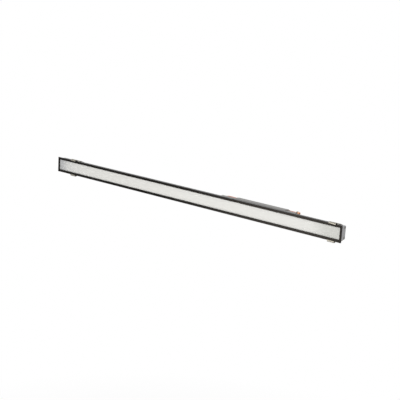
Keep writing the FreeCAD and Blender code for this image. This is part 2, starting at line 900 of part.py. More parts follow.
def rivets():
    """The rivets through clip and arm, with a head on each side."""
    clip_inner = clip_back - dim.clip_thick / 2
    arm_outer = clip_back + dim.clip_thick / 2 + dim.arm_thick
    solids = []
    for side, centre in clip_centres.items():
        x = rivet_x(centre)
        for k, z in enumerate(rivet_z):
            name = f"rivet_{side}_{k}"
            solids.append(fuse(name, [
                rod_along_y(name + "_stem", x, (clip_inner - 0.8, arm_outer + 0.9), z, rivet_radius),
                rod_along_y(name + "_front", x, (clip_inner - 0.8, clip_inner), z, rivet_radius * 1.7),
                rod_along_y(name + "_back", x, (arm_outer, arm_outer + 0.9), z, rivet_radius * 1.7),
            ]))
    return keep(group("clip_rivets", solids), "clip_rivets")


def wall_bracket(label, centre):
    """The angle screwed to the wall: a plate with two holes and an ear for the pivot."""
    ear_right = centre + 4
    body = new_body(label)
    plate = sketch_on(body, "XZ_Plane", -dim.stand_off)
    rectangle(plate, (ear_right - dim.wall_wide, ear_right), (dim.wall_low, dim.wall_top), dim.wall_corner)
    pad(body, plate, dim.wall_thick)
    ear = sketch_on(body, "YZ_Plane", ear_right)
    low, high = dim.pivot_z - dim.ear_radius, dim.pivot_z + dim.ear_radius
    nose = dim.pivot_depth - dim.ear_radius
    near_round = dim.ear_radius - 0.02
    outline(ear, [
        (dim.stand_off - 1, low),
        (dim.stand_off - 1, high),
        (nose, high, near_round),
        (nose, low, near_round),
    ])
    pad(body, ear, dim.wall_thick, reverse=True)
    bore = sketch_on(body, "YZ_Plane", ear_right)
    circle(bore, dim.pivot_depth, dim.pivot_z, dim.pivot_radius + dim.pivot_play)
    pocket(body, bore)
    holes = sketch_on(body, "XZ_Plane", -dim.stand_off)
    for z in (wall_hole_z, wall_hole_z + dim.wall_hole_gap):
        circle(holes, centre - 7, z, dim.wall_hole)
    pocket(body, holes)
    return keep(body, label)


wall_hole_z = dim.wall_low + 6


def pivots():
    """The bolts that the light tilts on, with their washers and lock nuts."""
    bolts = []
    washers = []
    nuts = []
    shank = dim.pivot_radius
    at = (dim.pivot_depth, dim.pivot_z)
    for side, centre in clip_centres.items():
        ear_right = centre + 4
        tip = centre - dim.nut_high - 1.2
        washer = (centre + dim.arm_thick - 0.05, ear_right - dim.wall_thick)
        head = (ear_right, ear_right + dim.bolt_head_high)
        solid = fuse(f"bolt_{side}_solid", [
            rod_along_x(f"bolt_{side}_shank", (tip, ear_right), *at, shank),
            rod_along_x(f"bolt_{side}_head", head, *at, dim.bolt_head),
        ])
        socket = hexagon(f"bolt_{side}_socket", dim.bolt_socket * 2, 3)
        place(socket, ear_right + dim.bolt_head_high - 1.8, depth(at[0]), at[1], ALONG_X)
        bolts.append(cut(f"bolt_{side}", solid, socket))
        washers.append(cut(
            f"washer_{side}",
            rod_along_x(f"washer_{side}_disc", washer, *at, dim.ear_radius),
            rod_along_x(f"washer_{side}_bore", (centre, ear_right), *at, shank + dim.pivot_play),
        ))
        nut = hexagon(f"nut_{side}_hex", dim.nut_flat, dim.nut_high)
        place(nut, centre - 0.15 - dim.nut_high, depth(at[0]), at[1], ALONG_X)
        nuts.append(cut(
            f"nut_{side}", nut,
            rod_along_x(f"nut_{side}_bore", (centre - 8, centre + 1), *at, shank + dim.pivot_play),
        ))
    keep(group("pivot_bolts", bolts), "pivot_bolts")
    keep(group("pivot_washers", washers), "pivot_washers")
    keep(group("pivot_nuts", nuts), "pivot_nuts")


# ---------------------------------------------------------------- driver and its tray

tray_screw_x = [dim.tray_left + 14, dim.tray_right - 14]
tab_margin = dim.inlet_radius + 1.1
tab_top = cable_z + tab_margin
tab_low = cable_z - tab_margin * 2


def driver_tray():
    """The folded channel on the housing's back, its top notched for the driver, with a tab for the inlet."""
    body = new_body("driver_tray")
    thick, bend = dim.tray_thick, dim.tray_bend
    section = sketch_on(body, "YZ_Plane", dim.tray_left)
    outline(section, [
        (dim.tray_deep, dim.tray_low),
        (dim.tray_deep, dim.tray_low + thick),
        (tray_back, dim.tray_low + thick, bend - thick),
        (tray_back, dim.tray_top - thick, bend - thick),
        (dim.tray_deep, dim.tray_top - thick),
        (dim.tray_deep, dim.tray_top),
        (dim.housing_deep, dim.tray_top, bend),
        (dim.housing_deep, dim.tray_low, bend),
    ])
    pad(body, section, dim.tray_right - dim.tray_left)
    notch = sketch_on(body, "YZ_Plane", dim.driver_left - dim.tray_notch_play)
    rectangle(notch, (tray_back, dim.tray_deep + 1), (dim.tray_top - bend, dim.tray_top + 1))
    pocket(body, notch, dim.driver_long + dim.tray_notch_play * 2, reverse=True)
    tab = sketch_on(body, "YZ_Plane", inlet_tab)
    outline(tab, [
        (tray_back - 0.5, tab_low),
        (dim.cable_depth + tab_margin, tab_low, 3.0),
        (dim.cable_depth + tab_margin, tab_top, 3.0),
        (dim.tray_deep, tab_top, 1.0),
        (dim.tray_deep - 3, dim.tray_top - 0.2),
        (tray_back - 0.5, dim.tray_top - 0.2),
    ])
    pad(body, tab, thick)
    hole = sketch_on(body, "YZ_Plane", inlet_tab)
    circle(hole, dim.cable_depth, cable_z, dim.inlet_radius + 0.05)
    pocket(body, hole, thick * 1.5, reverse=True)
    web = sketch_on(body, "XZ_Plane", -tray_back)
    for x in tray_screw_x:
        for z in (dim.tray_screw_z, -dim.tray_screw_z):
            circle(web, x, z, dim.panel_clear)
    for x in foot_screw_x:
        for z in (foot_screw_z, -foot_screw_z):
            circle(web, x, z, dim.panel_shank + 0.05)
    pocket(body, web, thick * 1.5, reverse=True)
    return keep(body, "driver_tray")


foot_screw_x = [dim.driver_left - dim.foot_long / 2, driver_right + dim.foot_long / 2]
foot_screw_z = Size(7.0, "7.0")


def panel_screws(label, places):
    """Pan head screws along Y: (x, seat depth, length, z) each."""
    screws = []
    for k, (x, seat, long, z) in enumerate(places):
        name = f"{label}_{k}"
        screws.append(fuse(name, [
            rod_along_y(name + "_shank", x, (seat - long, seat), z, dim.panel_shank),
            rod_along_y(name + "_head", x, (seat, seat + dim.panel_head_high), z, dim.panel_head),
        ]))
    return keep(group(label, screws), label)


def driver():
    """The closed driver: an extruded case, two end plates with feet, and the board inside."""
    case_left = dim.driver_left + dim.end_plate
    case_right = driver_right - dim.end_plate
    case = new_body("driver_case")
    section = sketch_on(case, "YZ_Plane", case_left)
    rectangle(section, (tray_back, dim.driver_back), (dim.driver_low, dim.driver_top), dim.driver_bend)
    wall = dim.driver_wall
    rectangle(
        section,
        (tray_back + wall, dim.driver_back - wall),
        (dim.driver_low + wall, dim.driver_top - wall),
        dim.driver_bend - wall,
    )
    pad(case, section, case_right - case_left)
    middle_z = (dim.driver_low + dim.driver_top) / 2
    groove_span = dim.driver_groove_pitch * (dim.driver_grooves - 1)
    low_groove = middle_z - groove_span / 2
    groove = sketch_on(case, "YZ_Plane", case_left)
    rectangle(
        groove,
        (dim.driver_back - dim.driver_groove, dim.driver_back + 1),
        (low_groove - dim.driver_groove_wide / 2, low_groove + dim.driver_groove_wide / 2),
    )
    cut_groove = pocket(case, groove, case_right - case_left, reverse=True)
    repeat(case, cut_groove, "XY_Plane", dim.driver_grooves, groove_span)
    keep(case, "driver_case")
    for label, left in (("driver_end_left", True), ("driver_end_right", False)):
        plate = new_body(label)
        plate_x = dim.driver_left if left else case_right
        face = sketch_on(plate, "YZ_Plane", plate_x)
        rectangle(face, (tray_back, dim.driver_back), (dim.driver_low, dim.driver_top), dim.driver_bend)
        pad(plate, face, dim.end_plate)
        foot = sketch_on(plate, "XZ_Plane", -tray_back)
        tip = plate_x - dim.foot_long if left else driver_right + dim.foot_long
        foot_x = (tip, plate_x + 1) if left else (plate_x + 1, tip)
        rectangle(foot, foot_x, (-11.0, 11.0))
        pad(plate, foot, dim.foot_thick, reverse=True)
        hole = sketch_on(plate, "YZ_Plane", plate_x)
        circle(hole, dim.cable_depth, cable_z, grommet_neck + 0.05)
        pocket(plate, hole, dim.end_plate, reverse=True)
        screws = sketch_on(plate, "XZ_Plane", -tray_back)
        for z in (foot_screw_z, -foot_screw_z):
            circle(screws, foot_screw_x[0 if left else 1], z, dim.panel_clear)
        pocket(plate, screws, dim.foot_thick)
        keep(plate, label)
    board = (tray_back + wall + 3.0, tray_back + wall + 4.6)
    board_z = (dim.driver_low + wall + 0.05, dim.driver_top - wall - 0.05)
    keep(block("driver_board", (case_left + 1, case_right - 1), board, board_z), "driver_board")
    back = dim.driver_back - wall - 1.0
    components = [
        block("driver_transformer", (case_left + 62, case_left + 88), (board[1], back - 1), (-9.0, 11.0)),
        block("driver_choke", (case_left + 104, case_left + 120), (board[1], back - 2), (-7.0, 9.0)),
        rod_along_y("driver_capacitor_in", case_left + 134, (board[1], back), middle_z, 6.0),
        rod_along_y("driver_capacitor_out", case_left + 44, (board[1], back), middle_z + 4, 4.5),
        rod_along_y("driver_capacitor_low", case_left + 44, (board[1], back), middle_z - 6, 4.5),
        block("driver_heat_plate", (case_left + 22, case_left + 34), (board[1], back), (-10.0, -8.0)),
    ]
    keep(group("driver_components", components), "driver_components")


grommet_neck = dim.cable_radius + dim.cable_play + dim.grommet_wall
grommet_radius = grommet_neck + dim.grommet_lip


def grommet(label, face_x, outward):
    """The rubber bush that a cable leaves the driver through."""
    long = dim.grommet_long
    span = (face_x, face_x + long) if outward > 0 else (face_x - long, face_x)
    neck = (face_x - dim.end_plate, face_x) if outward > 0 else (face_x, face_x + dim.end_plate)
    low, high = (neck[0], span[1]) if outward > 0 else (span[0], neck[1])
    at = (dim.cable_depth, cable_z)
    solid = fuse(label + "_solid", [
        rod_along_x(label + "_flange", span, *at, grommet_radius),
        rod_along_x(label + "_neck", neck, *at, grommet_neck),
    ])
    bore = rod_along_x(label + "_bore", (low - 1, high + 1), *at, dim.cable_radius + dim.cable_play)
    return keep(cut(label, solid, bore), label)


def tube_along(route, radius):
    """A round tube on straight runs joined by tangent arcs, each as large as its runs allow."""
    points = [VECTOR(x, d - dim.stand_off.value, z) for x, d, z in route]
    edges = []
    radii = []
    last = points[0]
    length = 0.0
    for before, corner, after in zip(points, points[1:], points[2:]):
        into = (corner - before).normalize()
        out = (after - corner).normalize()
        shorter = min((corner - before).Length, (after - corner).Length)
        arc_radius = 0.45 * shorter / math.tan(into.getAngle(out) / 2)
        start, middle, end = corner_arc(before, corner, after, arc_radius)
        edges.append(Part.LineSegment(last, start).toShape())
        edges.append(Part.Arc(start, middle, end).toShape())
        length += (start - last).Length + arc_radius * into.getAngle(out)
        radii.append(round(arc_radius, 1))
        last = end
    edges.append(Part.LineSegment(last, points[-1]).toShape())
    length += (points[-1] - last).Length
    path = Part.Wire(edges)
    disc = Part.Circle(points[0], (points[1] - points[0]).normalize(), radius).toShape()
    tube = path.makePipeShell([Part.Wire([disc])], True, False)
    expected = math.pi * radius ** 2 * length
    print("cable radii", radii, "length", round(length, 1), "volume ratio", round(tube.Volume / expected, 4))
    return tube


def cables():
    """The two red-brown silicone cables, held at both ends."""
    radius = dim.cable_radius.value
    output = doc.addObject("Part::Feature", "output_cable")
    output.Shape = tube_along([[size.value for size in point] for point in cable_route], radius)
    keep(output, "output_cable")
    between = (driver_right + dim.grommet_long - 4, inlet_tab - dim.inlet_tail)
    keep(rod_along_x("input_cable", between, dim.cable_depth, cable_z, dim.cable_radius), "input_cable")


def mains_inlet():
    """The orange panel inlet on the tray's tab, with its pins and lock nut."""
    at = (dim.cable_depth, cable_z)
    flange = (dim.tray_right, dim.tray_right + dim.inlet_flange_long)
    collar = (flange[1], flange[1] + dim.inlet_collar_long)
    tail = (inlet_tab - dim.inlet_tail, dim.tray_right)
    solid = fuse("mains_inlet_solid", [
        rod_along_x("mains_inlet_tail", tail, *at, dim.inlet_radius),
        rod_along_x("mains_inlet_flange", flange, *at, dim.inlet_flange),
        rod_along_x("mains_inlet_collar", collar, *at, dim.inlet_collar),
    ])
    floor = dim.tray_right
    socket = rod_along_x("mains_inlet_socket", (floor, collar[1] + 1), *at, dim.inlet_socket)
    keep(cut("mains_inlet", solid, socket), "mains_inlet")
    pins = []
    for k in range(3):
        turn = math.radians(90 + 120 * k)
        pins.append(rod_along_x(
            f"inlet_pin_{k}", (floor, floor + dim.inlet_pin_long),
            dim.cable_depth + 1.4 * math.cos(turn), cable_z + 1.4 * math.sin(turn), 0.5,
        ))
    keep(group("inlet_pins", pins), "inlet_pins")
    nut = hexagon("inlet_nut_hex", (dim.inlet_radius + 1) * 2, 2.4)
    place(nut, inlet_tab - 2.4, depth(at[0]), at[1], ALONG_X * FreeCAD.Rotation(VECTOR(0, 0, 1), 30))
    bore = rod_along_x("inlet_nut_bore", (inlet_tab - 4, inlet_tab + 1), *at, dim.inlet_radius + 0.05)
    keep(cut("inlet_nut", nut, bore), "inlet_nut")


entry_bore = Size(2.4, "2.4")


def cable_entry():
    """The moulded elbow that takes the output cable into the housing."""
    along = (VECTOR(*OUTPUT_ROUTE[-1]) - VECTOR(*OUTPUT_ROUTE[-2])).normalize()
    sleeve = doc.addObject("Part::Cylinder", "cable_entry_sleeve")
    bind(sleeve, "Radius", dim.sleeve_radius)
    bind(sleeve, "Height", dim.sleeve_long)
    end_x, end_depth, end_z = route_end
    place(sleeve, end_x, depth(end_depth), end_z, FreeCAD.Rotation(VECTOR(0, 0, 1), along))
    base = block(
        "cable_entry_base", (entry_x - 8.5, entry_x + 8.5), (dim.housing_deep, end_depth + 3.5),
        (dim.entry_low, dim.entry_top),
    )
    bore = rod_along_y("cable_entry_bore", entry_x, (dim.housing_deep - 1, 32.0), entry_z, entry_bore)
    keep(cut("cable_entry", fuse("cable_entry_solid", [base, sleeve]), bore), "cable_entry")


def breather_vent():
    """The screwed vent that lets the sealed housing breathe."""
    seat = dim.housing_deep
    crown = seat + dim.vent_high
    stem = rod_along_y("vent_stem", dim.vent_x, (seat - 2, seat), 0, dim.vent_bore - 0.05)
    cap = hexagon("vent_hex", dim.vent_flat, dim.vent_high)
    place(cap, dim.vent_x, depth(seat), 0, ALONG_Y)
    dome = rod_along_y("vent_dome", dim.vent_x, (crown, crown + 1.2), 0, 4.4)
    keep(fuse("breather_vent", [stem, cap, dome]), "breather_vent")


# ---------------------------------------------------------------- the assembly

housing_profile()
frame_rail("frame_rail_top", 1)
frame_rail("frame_rail_bottom", -1)
frame_bar("frame_bar_left", True)
frame_bar("frame_bar_right", False)
small_screws()
diffuser()
diffuser_gasket()
end_cap("end_cap_left", True)
end_cap("end_cap_right", False)
end_gasket("end_gasket_left", True)
end_gasket("end_gasket_right", False)
end_cap_screws()
light_engine()
for side, centre in clip_centres.items():
    spring_clip(f"clip_{side}", centre)
    tilt_arm(f"tilt_arm_{side}", centre)
    wall_bracket(f"wall_bracket_{side}", centre)
rivets()
pivots()
driver_tray()
panel_screws("tray_screws", [
    (x, tray_back, dim.tray_thick + dim.panel_bite - 0.2, z)
    for x in tray_screw_x
    for z in (dim.tray_screw_z, -dim.tray_screw_z)
])
driver()
panel_screws("driver_screws", [
    (x, tray_back + dim.foot_thick, dim.foot_thick + dim.tray_thick, z)
    for x in foot_screw_x
    for z in (foot_screw_z, -foot_screw_z)
])
grommet("driver_grommet_left", dim.driver_left, -1)
grommet("driver_grommet_right", driver_right, 1)
cables()
mains_inlet()
cable_entry()
breather_vent()
doc.recompute()

faults = [obj.Label for obj in doc.Objects if "Invalid" in obj.State or "Error" in obj.State]
faults += [obj.Label for obj in parts if obj.Shape.isNull() or not obj.Shape.isValid()]
if faults:
    raise RuntimeError("these did not build: " + ", ".join(sorted(set(faults))))

os.makedirs("parts", exist_ok=True)
for obj in parts:
    obj.Shape.exportStep(f"parts/{obj.Label}.step")
print(len(parts), "parts written")
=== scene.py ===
import json
import math

import bmesh
import bpy
from bpy.props import FloatProperty, FloatVectorProperty, PointerProperty
from mathutils import Matrix, Vector


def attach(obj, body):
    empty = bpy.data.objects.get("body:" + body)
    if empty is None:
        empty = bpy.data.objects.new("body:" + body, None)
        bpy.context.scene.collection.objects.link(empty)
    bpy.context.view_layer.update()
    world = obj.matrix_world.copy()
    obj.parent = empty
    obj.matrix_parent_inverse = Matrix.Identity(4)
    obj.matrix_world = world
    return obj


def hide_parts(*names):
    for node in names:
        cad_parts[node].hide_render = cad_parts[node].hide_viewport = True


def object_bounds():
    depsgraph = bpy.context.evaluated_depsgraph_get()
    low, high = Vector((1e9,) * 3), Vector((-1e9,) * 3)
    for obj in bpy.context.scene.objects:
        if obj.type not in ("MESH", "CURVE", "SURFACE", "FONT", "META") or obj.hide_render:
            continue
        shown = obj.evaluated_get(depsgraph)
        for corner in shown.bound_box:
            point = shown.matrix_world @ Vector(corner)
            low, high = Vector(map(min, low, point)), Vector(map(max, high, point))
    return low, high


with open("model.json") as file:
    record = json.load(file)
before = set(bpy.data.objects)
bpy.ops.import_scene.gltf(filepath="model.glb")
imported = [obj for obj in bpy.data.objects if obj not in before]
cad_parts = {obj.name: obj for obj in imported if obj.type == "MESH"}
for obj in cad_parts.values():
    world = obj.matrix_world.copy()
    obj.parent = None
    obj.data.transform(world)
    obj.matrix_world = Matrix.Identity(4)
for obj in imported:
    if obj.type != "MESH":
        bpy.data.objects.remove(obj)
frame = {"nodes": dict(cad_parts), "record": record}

bl_info = {
    "name": "Linear wall washer",
    "version": (1, 0, 0),
    "blender": (4, 5, 0),
    "location": "3D View > Sidebar > Wall washer",
    "description": "Finishes and small fittings for a one metre wall washer on tilting clips",
    "category": "Object",
}

CAD_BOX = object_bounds()
MM = 0.001
STAND_OFF = 52.0            # mm from the wall, where y is nought, to the front face
SHARP = math.radians(38)    # edges that turn more than this are shaded as sharp
MERGE = 1e-7                # m: points closer than this are one
TOP_NORMAL = 0.3            # faces whose normal rises more than this belong to a head's top
RIM_ANGLE = 1.0             # rad: edges of a nut that turn more than this are bevelled


# ---------------------------------------------------------------- settings

def from_hex(code):
    """The linear colour of an sRGB hex code."""
    channels = (int(code[i:i + 2], 16) / 255 for i in (0, 2, 4))
    return tuple(c / 12.92 if c <= 0.04045 else ((c + 0.055) / 1.055) ** 2.4 for c in channels)


def shade(name, description, code):
    """A colour setting in the sidebar, from its sRGB hex code."""
    return FloatVectorProperty(
        name=name, description=description, subtype="COLOR", size=3, min=0, max=1,
        default=from_hex(code),
    )


def length(name, description, mm):
    """A length setting in the sidebar, from its default in millimetres."""
    return FloatProperty(
        name=name, description=description, unit="LENGTH", precision=5, min=0.1 * MM,
        default=mm * MM,
    )


def watts(name, description, power):
    """A lamp's power in the sidebar."""
    return FloatProperty(name=name, description=description, unit="POWER", min=0, default=power)


class WasherColours(bpy.types.PropertyGroup):
    """The colours of the light's finishes, and the painted shade at the ends of its front plate."""

    housing: shade("Housing", "Black anodised extrusion and front frame", "1e1c1a")
    cap: shade("End caps", "Powder coated end caps", "9b9b9c")
    opal: shade("Front plate", "Opal acrylic in front of the diodes", "e2e1dc")
    # Painted shade: the plate's ends are darker where the housing's end walls shade them, more at the
    # left than at the right.
    opal_left_painted_shade: shade("Front plate, left end", "The plate's tone over the left end cap", "afb0b0")
    opal_right_painted_shade: shade("Front plate, right end", "The plate's tone over the right end cap", "cdcdc7")
    steel: shade("Spring steel", "Rolled stainless clips, arms and brackets", "8a867c")
    zinc: shade("Fasteners", "Zinc plated screws, bolts and nuts", "b4b5b8")
    tray: shade("Driver tray", "Powder coated tray", "8d8c89")
    driver: shade("Driver", "Natural anodised driver case", "838280")
    cable: shade("Cable", "Terracotta silicone sheath", "c06d4e")
    inlet: shade("Inlet", "Orange nylon inlet", "ffc8a0")
    bush: shade("Cable bushes", "Grey silicone bushes on the driver", "94847c")
    moulding: shade("Mouldings", "Black nylon and rubber", "1d1d1f")


class WasherSizes(bpy.types.PropertyGroup):
    """The sizes of the small fittings."""

    frame_head: length("Frame screw head", "Radius of the small heads behind the front frame", 1.6)
    panel_head: length("Panel screw head", "Radius of the heads on tray and driver feet", 2.6)
    cap_head: length("Cap screw head", "Radius of the sunk heads in the end caps", 2.8)
    plate_head: length("End plate screw head", "Radius of the heads in the driver's end plates", 1.5)
    bolt_head: length("Pivot bolt head", "Radius of the socket heads", 4.25)
    socket: length("Pivot bolt socket", "Width across the flats of the hexagon socket", 3.4)
    nut: length("Pivot nut", "Width across the flats of the lock nuts", 8.0)
    rivet_head: length("Rivet head", "Radius of the rivet heads", 2.7)
    bush: length("Cable bush", "Radius of the bushes on the driver", 3.6)
    cable_hole: length("Cable hole", "Radius of the hole in the bushes", 2.4)
    inlet_flange: length("Inlet flange", "Radius of the inlet's flange", 4.2)
    inlet_socket: length("Inlet socket", "Radius of the inlet's socket", 3.1)
    vent: length("Vent", "Width across the flats of the breather vent", 11.0)
    gland: length("Cable entry", "Radius of the gland on the cable entry", 4.4)
    block_round: length("Cable entry edges", "Radius of the cable entry's edges", 1.2)


class WasherStage(bpy.types.PropertyGroup):
    """The camera, the floor and the lamps."""

    lens: FloatProperty(
        name="Lens", description="Focal length in mm on a 36 mm sensor", min=10, default=86.21,
    )
    floor_drop: FloatProperty(
        name="Floor drop", description="Height of the light above the floor", unit="LENGTH",
        min=0.1, default=1.2,
    )
    key_power: watts("Key", "Power of the large lamp in front", 24.0)
    low_power: watts("Low", "Power of the low lamp in front", 13.0)
    top_power: watts("Top", "Power of the lamp overhead", 12.0)
    side_power: watts("Side", "Power of the lamp at the right", 10.0)
    edge_power: watts("Edge", "Power of the strip lamp at the left", 3.5)
    ambient: FloatProperty(
        name="Ambient", description="Strength of the even light from all round", min=0, default=0.6,
    )


# ---------------------------------------------------------------- shapes

def at(x, behind, z):
    """A point in metres, from millimetres, with y given as the depth behind the front face."""
    return Vector((x, behind - STAND_OFF, z)) * MM


FACING = {
    "right": Matrix.Rotation(math.pi / 2, 4, "Y"),
    "left": Matrix.Rotation(-math.pi / 2, 4, "Y"),
    "back": Matrix.Rotation(-math.pi / 2, 4, "X"),
}


def turned(profile, steps=24, ring=False):
    """Spins a profile of (radius, height) in mm about Z. A ring's returns to its first point."""
    shape = bmesh.new()
    points = [shape.verts.new((radius * MM, 0, high * MM)) for radius, high in profile]
    ends = points[1:] + points[:1] if ring else points[1:]
    edges = [shape.edges.new(pair) for pair in zip(points, ends)]
    bmesh.ops.spin(
        shape, geom=points + edges, cent=(0, 0, 0), axis=(0, 0, 1), angle=math.tau, steps=steps,
        use_merge=True,
    )
    bmesh.ops.remove_doubles(shape, verts=shape.verts, dist=MERGE)
    return shape


def sink(shape, walls, inside, floor):
    """Cuts a recess into a shape's top. Walls are (normal, distance) planes."""
    def top_faces():
        return [face for face in shape.faces if face.normal.z > TOP_NORMAL]

    bmesh.ops.recalc_face_normals(shape, faces=shape.faces)
    for normal, distance in walls:
        top = top_faces()
        around = {part for face in top for part in (*face.edges, *face.verts)}
        bmesh.ops.bisect_plane(
            shape, geom=top + list(around), dist=0.1 * MERGE, plane_no=normal,
            plane_co=Vector(normal) * distance * MM,
        )
    lid = [face for face in top_faces() if inside(face.calc_center_median() / MM)]
    raised = bmesh.ops.extrude_face_region(shape, geom=lid)["geom"]
    bmesh.ops.delete(shape, geom=[face for face in lid if face.is_valid], context="FACES")
    for vert in raised:
        if isinstance(vert, bmesh.types.BMVert):
            vert.co.z = floor * MM


def cross_recess(shape, long, wide, floor):
    """A cross recess for a driver, as long and wide as its arms measure from end to end."""
    walls = [
        (normal, side * reach / 2)
        for normal in ((1, 0, 0), (0, 1, 0)) for reach in (long, wide) for side in (-1, 1)
    ]

    def inside(centre):
        near, far = sorted((abs(centre.x), abs(centre.y)))
        return near < wide / 2 and far < long / 2

    sink(shape, walls, inside, floor)


def hexagon_socket(shape, flats, floor):
    """A hexagon recess, flats across."""
    normals = [(math.cos(k * math.pi / 3), math.sin(k * math.pi / 3), 0) for k in range(6)]

    def inside(centre):
        return all(centre.dot(Vector(normal)) < flats / 2 for normal in normals)

    sink(shape, [(normal, flats / 2) for normal in normals], inside, floor)


def pan_head_screw(radius, high, shank, long):
    """A screw with its seat at z = 0: a domed head with a cross recess, and a plain shank."""
    shape = turned([
        (0, high), (0.5 * radius, 0.97 * high), (0.78 * radius, 0.84 * high),
        (0.94 * radius, 0.58 * high), (radius, 0.28 * high), (radius, 0), (shank, 0),
        (shank, 0.6 * shank - long), (0.5 * shank, -long), (0, -long),
    ], steps=20)
    cross_recess(shape, 1.2 * radius, 0.32 * radius, 0.4 * high)
    return shape


def hexagon_nut(flats, high, bore, edge):
    """A nut on z = 0 with its hole through it and its rims bevelled."""
    shape = bmesh.new()
    corner = flats / math.sqrt(3) * MM
    bmesh.ops.create_circle(shape, segments=6, radius=corner)
    bmesh.ops.subdivide_edges(shape, edges=shape.edges, cuts=3)
    bmesh.ops.create_circle(shape, segments=24, radius=bore * MM)
    faces = bmesh.ops.bridge_loops(shape, edges=shape.edges)["faces"]
    top = bmesh.ops.extrude_face_region(shape, geom=faces)["geom"]
    raised = [vert for vert in top if isinstance(vert, bmesh.types.BMVert)]
    bmesh.ops.translate(shape, verts=raised, vec=(0, 0, high * MM))
    bmesh.ops.recalc_face_normals(shape, faces=shape.faces)
    past_bore = (bore + 0.2) * MM
    rims = [
        line for line in shape.edges
        if abs(line.verts[0].co.z - line.verts[1].co.z) < MERGE
        and all(vert.co.xy.length > past_bore for vert in line.verts)
        and line.calc_face_angle(0) > RIM_ANGLE
    ]
    bmesh.ops.bevel(
        shape, geom=rims, offset=edge * MM, segments=2, profile=0.5, affect="EDGES", material=-1,
        clamp_overlap=True,
    )
    return shape


def spread(template, places, facing, roll=0.0):
    """Copies of a template, one at each place and facing one way, each rolled further round."""
    pattern = bpy.data.meshes.new("pattern")
    template.to_mesh(pattern)
    template.free()
    shape = bmesh.new()
    for number, place in enumerate(places):
        copy = pattern.copy()
        copy.transform(Matrix.Translation(place) @ facing @ Matrix.Rotation(number * roll, 4, "Z"))
        shape.from_mesh(copy)
        bpy.data.meshes.remove(copy)
    bpy.data.meshes.remove(pattern)
    return shape


def join(*shapes):
    """One shape from several."""
    whole = bmesh.new()
    for shape in shapes:
        carrier = bpy.data.meshes.new("carrier")
        shape.to_mesh(carrier)
        shape.free()
        whole.from_mesh(carrier)
        bpy.data.meshes.remove(carrier)
    return whole


def finish_of(slot):
    """The material that the CAD nodes of a slot already have."""
    row = next(row for row in frame["record"]["subparts"] if row["material_slot"] == slot)
    return frame["nodes"][row["node"]].data.materials[0]


def add_piece(name, shape, body, slot, *nodes):
    """Makes a shape an object with its finish and body, and hides the CAD nodes it stands for."""
    bmesh.ops.recalc_face_normals(shape, faces=shape.faces)
    mesh = bpy.data.meshes.new(name)
    shape.to_mesh(mesh)
    shape.free()
    mesh.shade_smooth()
    mesh.set_sharp_from_angle(angle=SHARP)
    mesh.materials.append(finish_of(slot))
    piece = bpy.data.objects.new(name, mesh)
    bpy.context.scene.collection.objects.link(piece)
    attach(piece, body)
    if nodes:
        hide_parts(*nodes)
    return piece


# ---------------------------------------------------------------- materials

NOISE_RANGE = (0.3, 0.7)    # the part of a noise's span that its values fill
BUMP_HIGH = 0.02            # mm from the lowest to the highest point of a bump

# The colours that the sidebar doesn't offer, of pieces that are mostly hidden, by slot.
FIXED_COLOURS = {
    "silicone": "c9c9c4",
    "board_white": "e8e8e4",
    "diode": "e8c860",
    "reflector_white": "f0f0f0",
    "thermal_grey": "8b8f94",
    "board_green": "1f5a3c",
    "component_dark": "2a2a2c",
    "contact_brass": "d9b56a",
}


def add_node(owner, kind, sockets=None, stops=None, **settings):
    """Adds a node with its settings, and gives each socket a value or a link."""
    tree = owner.node_tree
    node = tree.nodes.new(kind)
    for name, value in settings.items():
        setattr(node, name, value)
    for index, (place, colour) in enumerate(stops or ()):
        stop = node.color_ramp.elements[index] if index < 2 else node.color_ramp.elements.new(place)
        stop.position = place
        stop.color = (*colour, 1)
    for socket, value in (sockets or {}).items():
        if isinstance(value, bpy.types.NodeSocket):
            tree.links.new(value, node.inputs[socket])
        else:
            node.inputs[socket].default_value = value
    return node


def emptied(owner):
    """Clears the nodes of a material or a world, and returns the function that adds nodes to it."""
    owner.use_nodes = True
    owner.node_tree.nodes.clear()

    def add(kind, sockets=None, stops=None, **settings):
        return add_node(owner, kind, sockets, stops, **settings)

    return add


def new_material(name):
    """A material with its surface shader, and the function that adds nodes to it."""
    material = bpy.data.materials.new(name)
    add = emptied(material)
    surface = add("ShaderNodeBsdfPrincipled")
    add("ShaderNodeOutputMaterial", {"Surface": surface.outputs["BSDF"]})
    return material, surface, add


def grain(add, size_mm, detail=3.0, turn=(0, 0, 0)):
    """A noise whose cells measure size_mm along each axis of the object."""
    where = add("ShaderNodeTexCoord").outputs["Object"]
    scaled = add("ShaderNodeMapping", {
        "Vector": where,
        "Rotation": turn,
        "Scale": tuple(1 / (mm * MM) for mm in size_mm),
    })
    noise = add("ShaderNodeTexNoise", {
        "Vector": scaled.outputs["Vector"], "Scale": 1.0, "Detail": detail,
    })
    return noise.outputs["Fac"]


def tint(colour, factor):
    """The colour made lighter or darker by a factor."""
    return tuple(min(1.0, c * factor) for c in colour)


def blend(first, second, share):
    """The colour this share of the way from the first to the second."""
    return tuple(a + (b - a) * share for a, b in zip(first, second))


def finish(add, surface, colour, pattern, vary, rough, bump=0.0, metal=False):
    """Varies a surface's colour and roughness with a pattern, and raises it by a bump."""
    low, high = NOISE_RANGE
    tone = add("ShaderNodeValToRGB", {"Fac": pattern}, stops=[
        (low, tint(colour, 1 - vary)), (high, tint(colour, 1 + vary)),
    ])
    wear = add("ShaderNodeMapRange", {
        "Value": pattern, "From Min": low, "From Max": high, "To Min": rough[0], "To Max": rough[1],
    })
    surface.inputs["Metallic"].default_value = 1.0 if metal else 0.0
    tree = surface.id_data
    tree.links.new(tone.outputs["Color"], surface.inputs["Base Color"])
    tree.links.new(wear.outputs["Result"], surface.inputs["Roughness"])
    if bump:
        raised = add("ShaderNodeBump", {
            "Height": pattern, "Strength": bump, "Distance": BUMP_HIGH * MM,
        })
        tree.links.new(raised.outputs["Normal"], surface.inputs["Normal"])


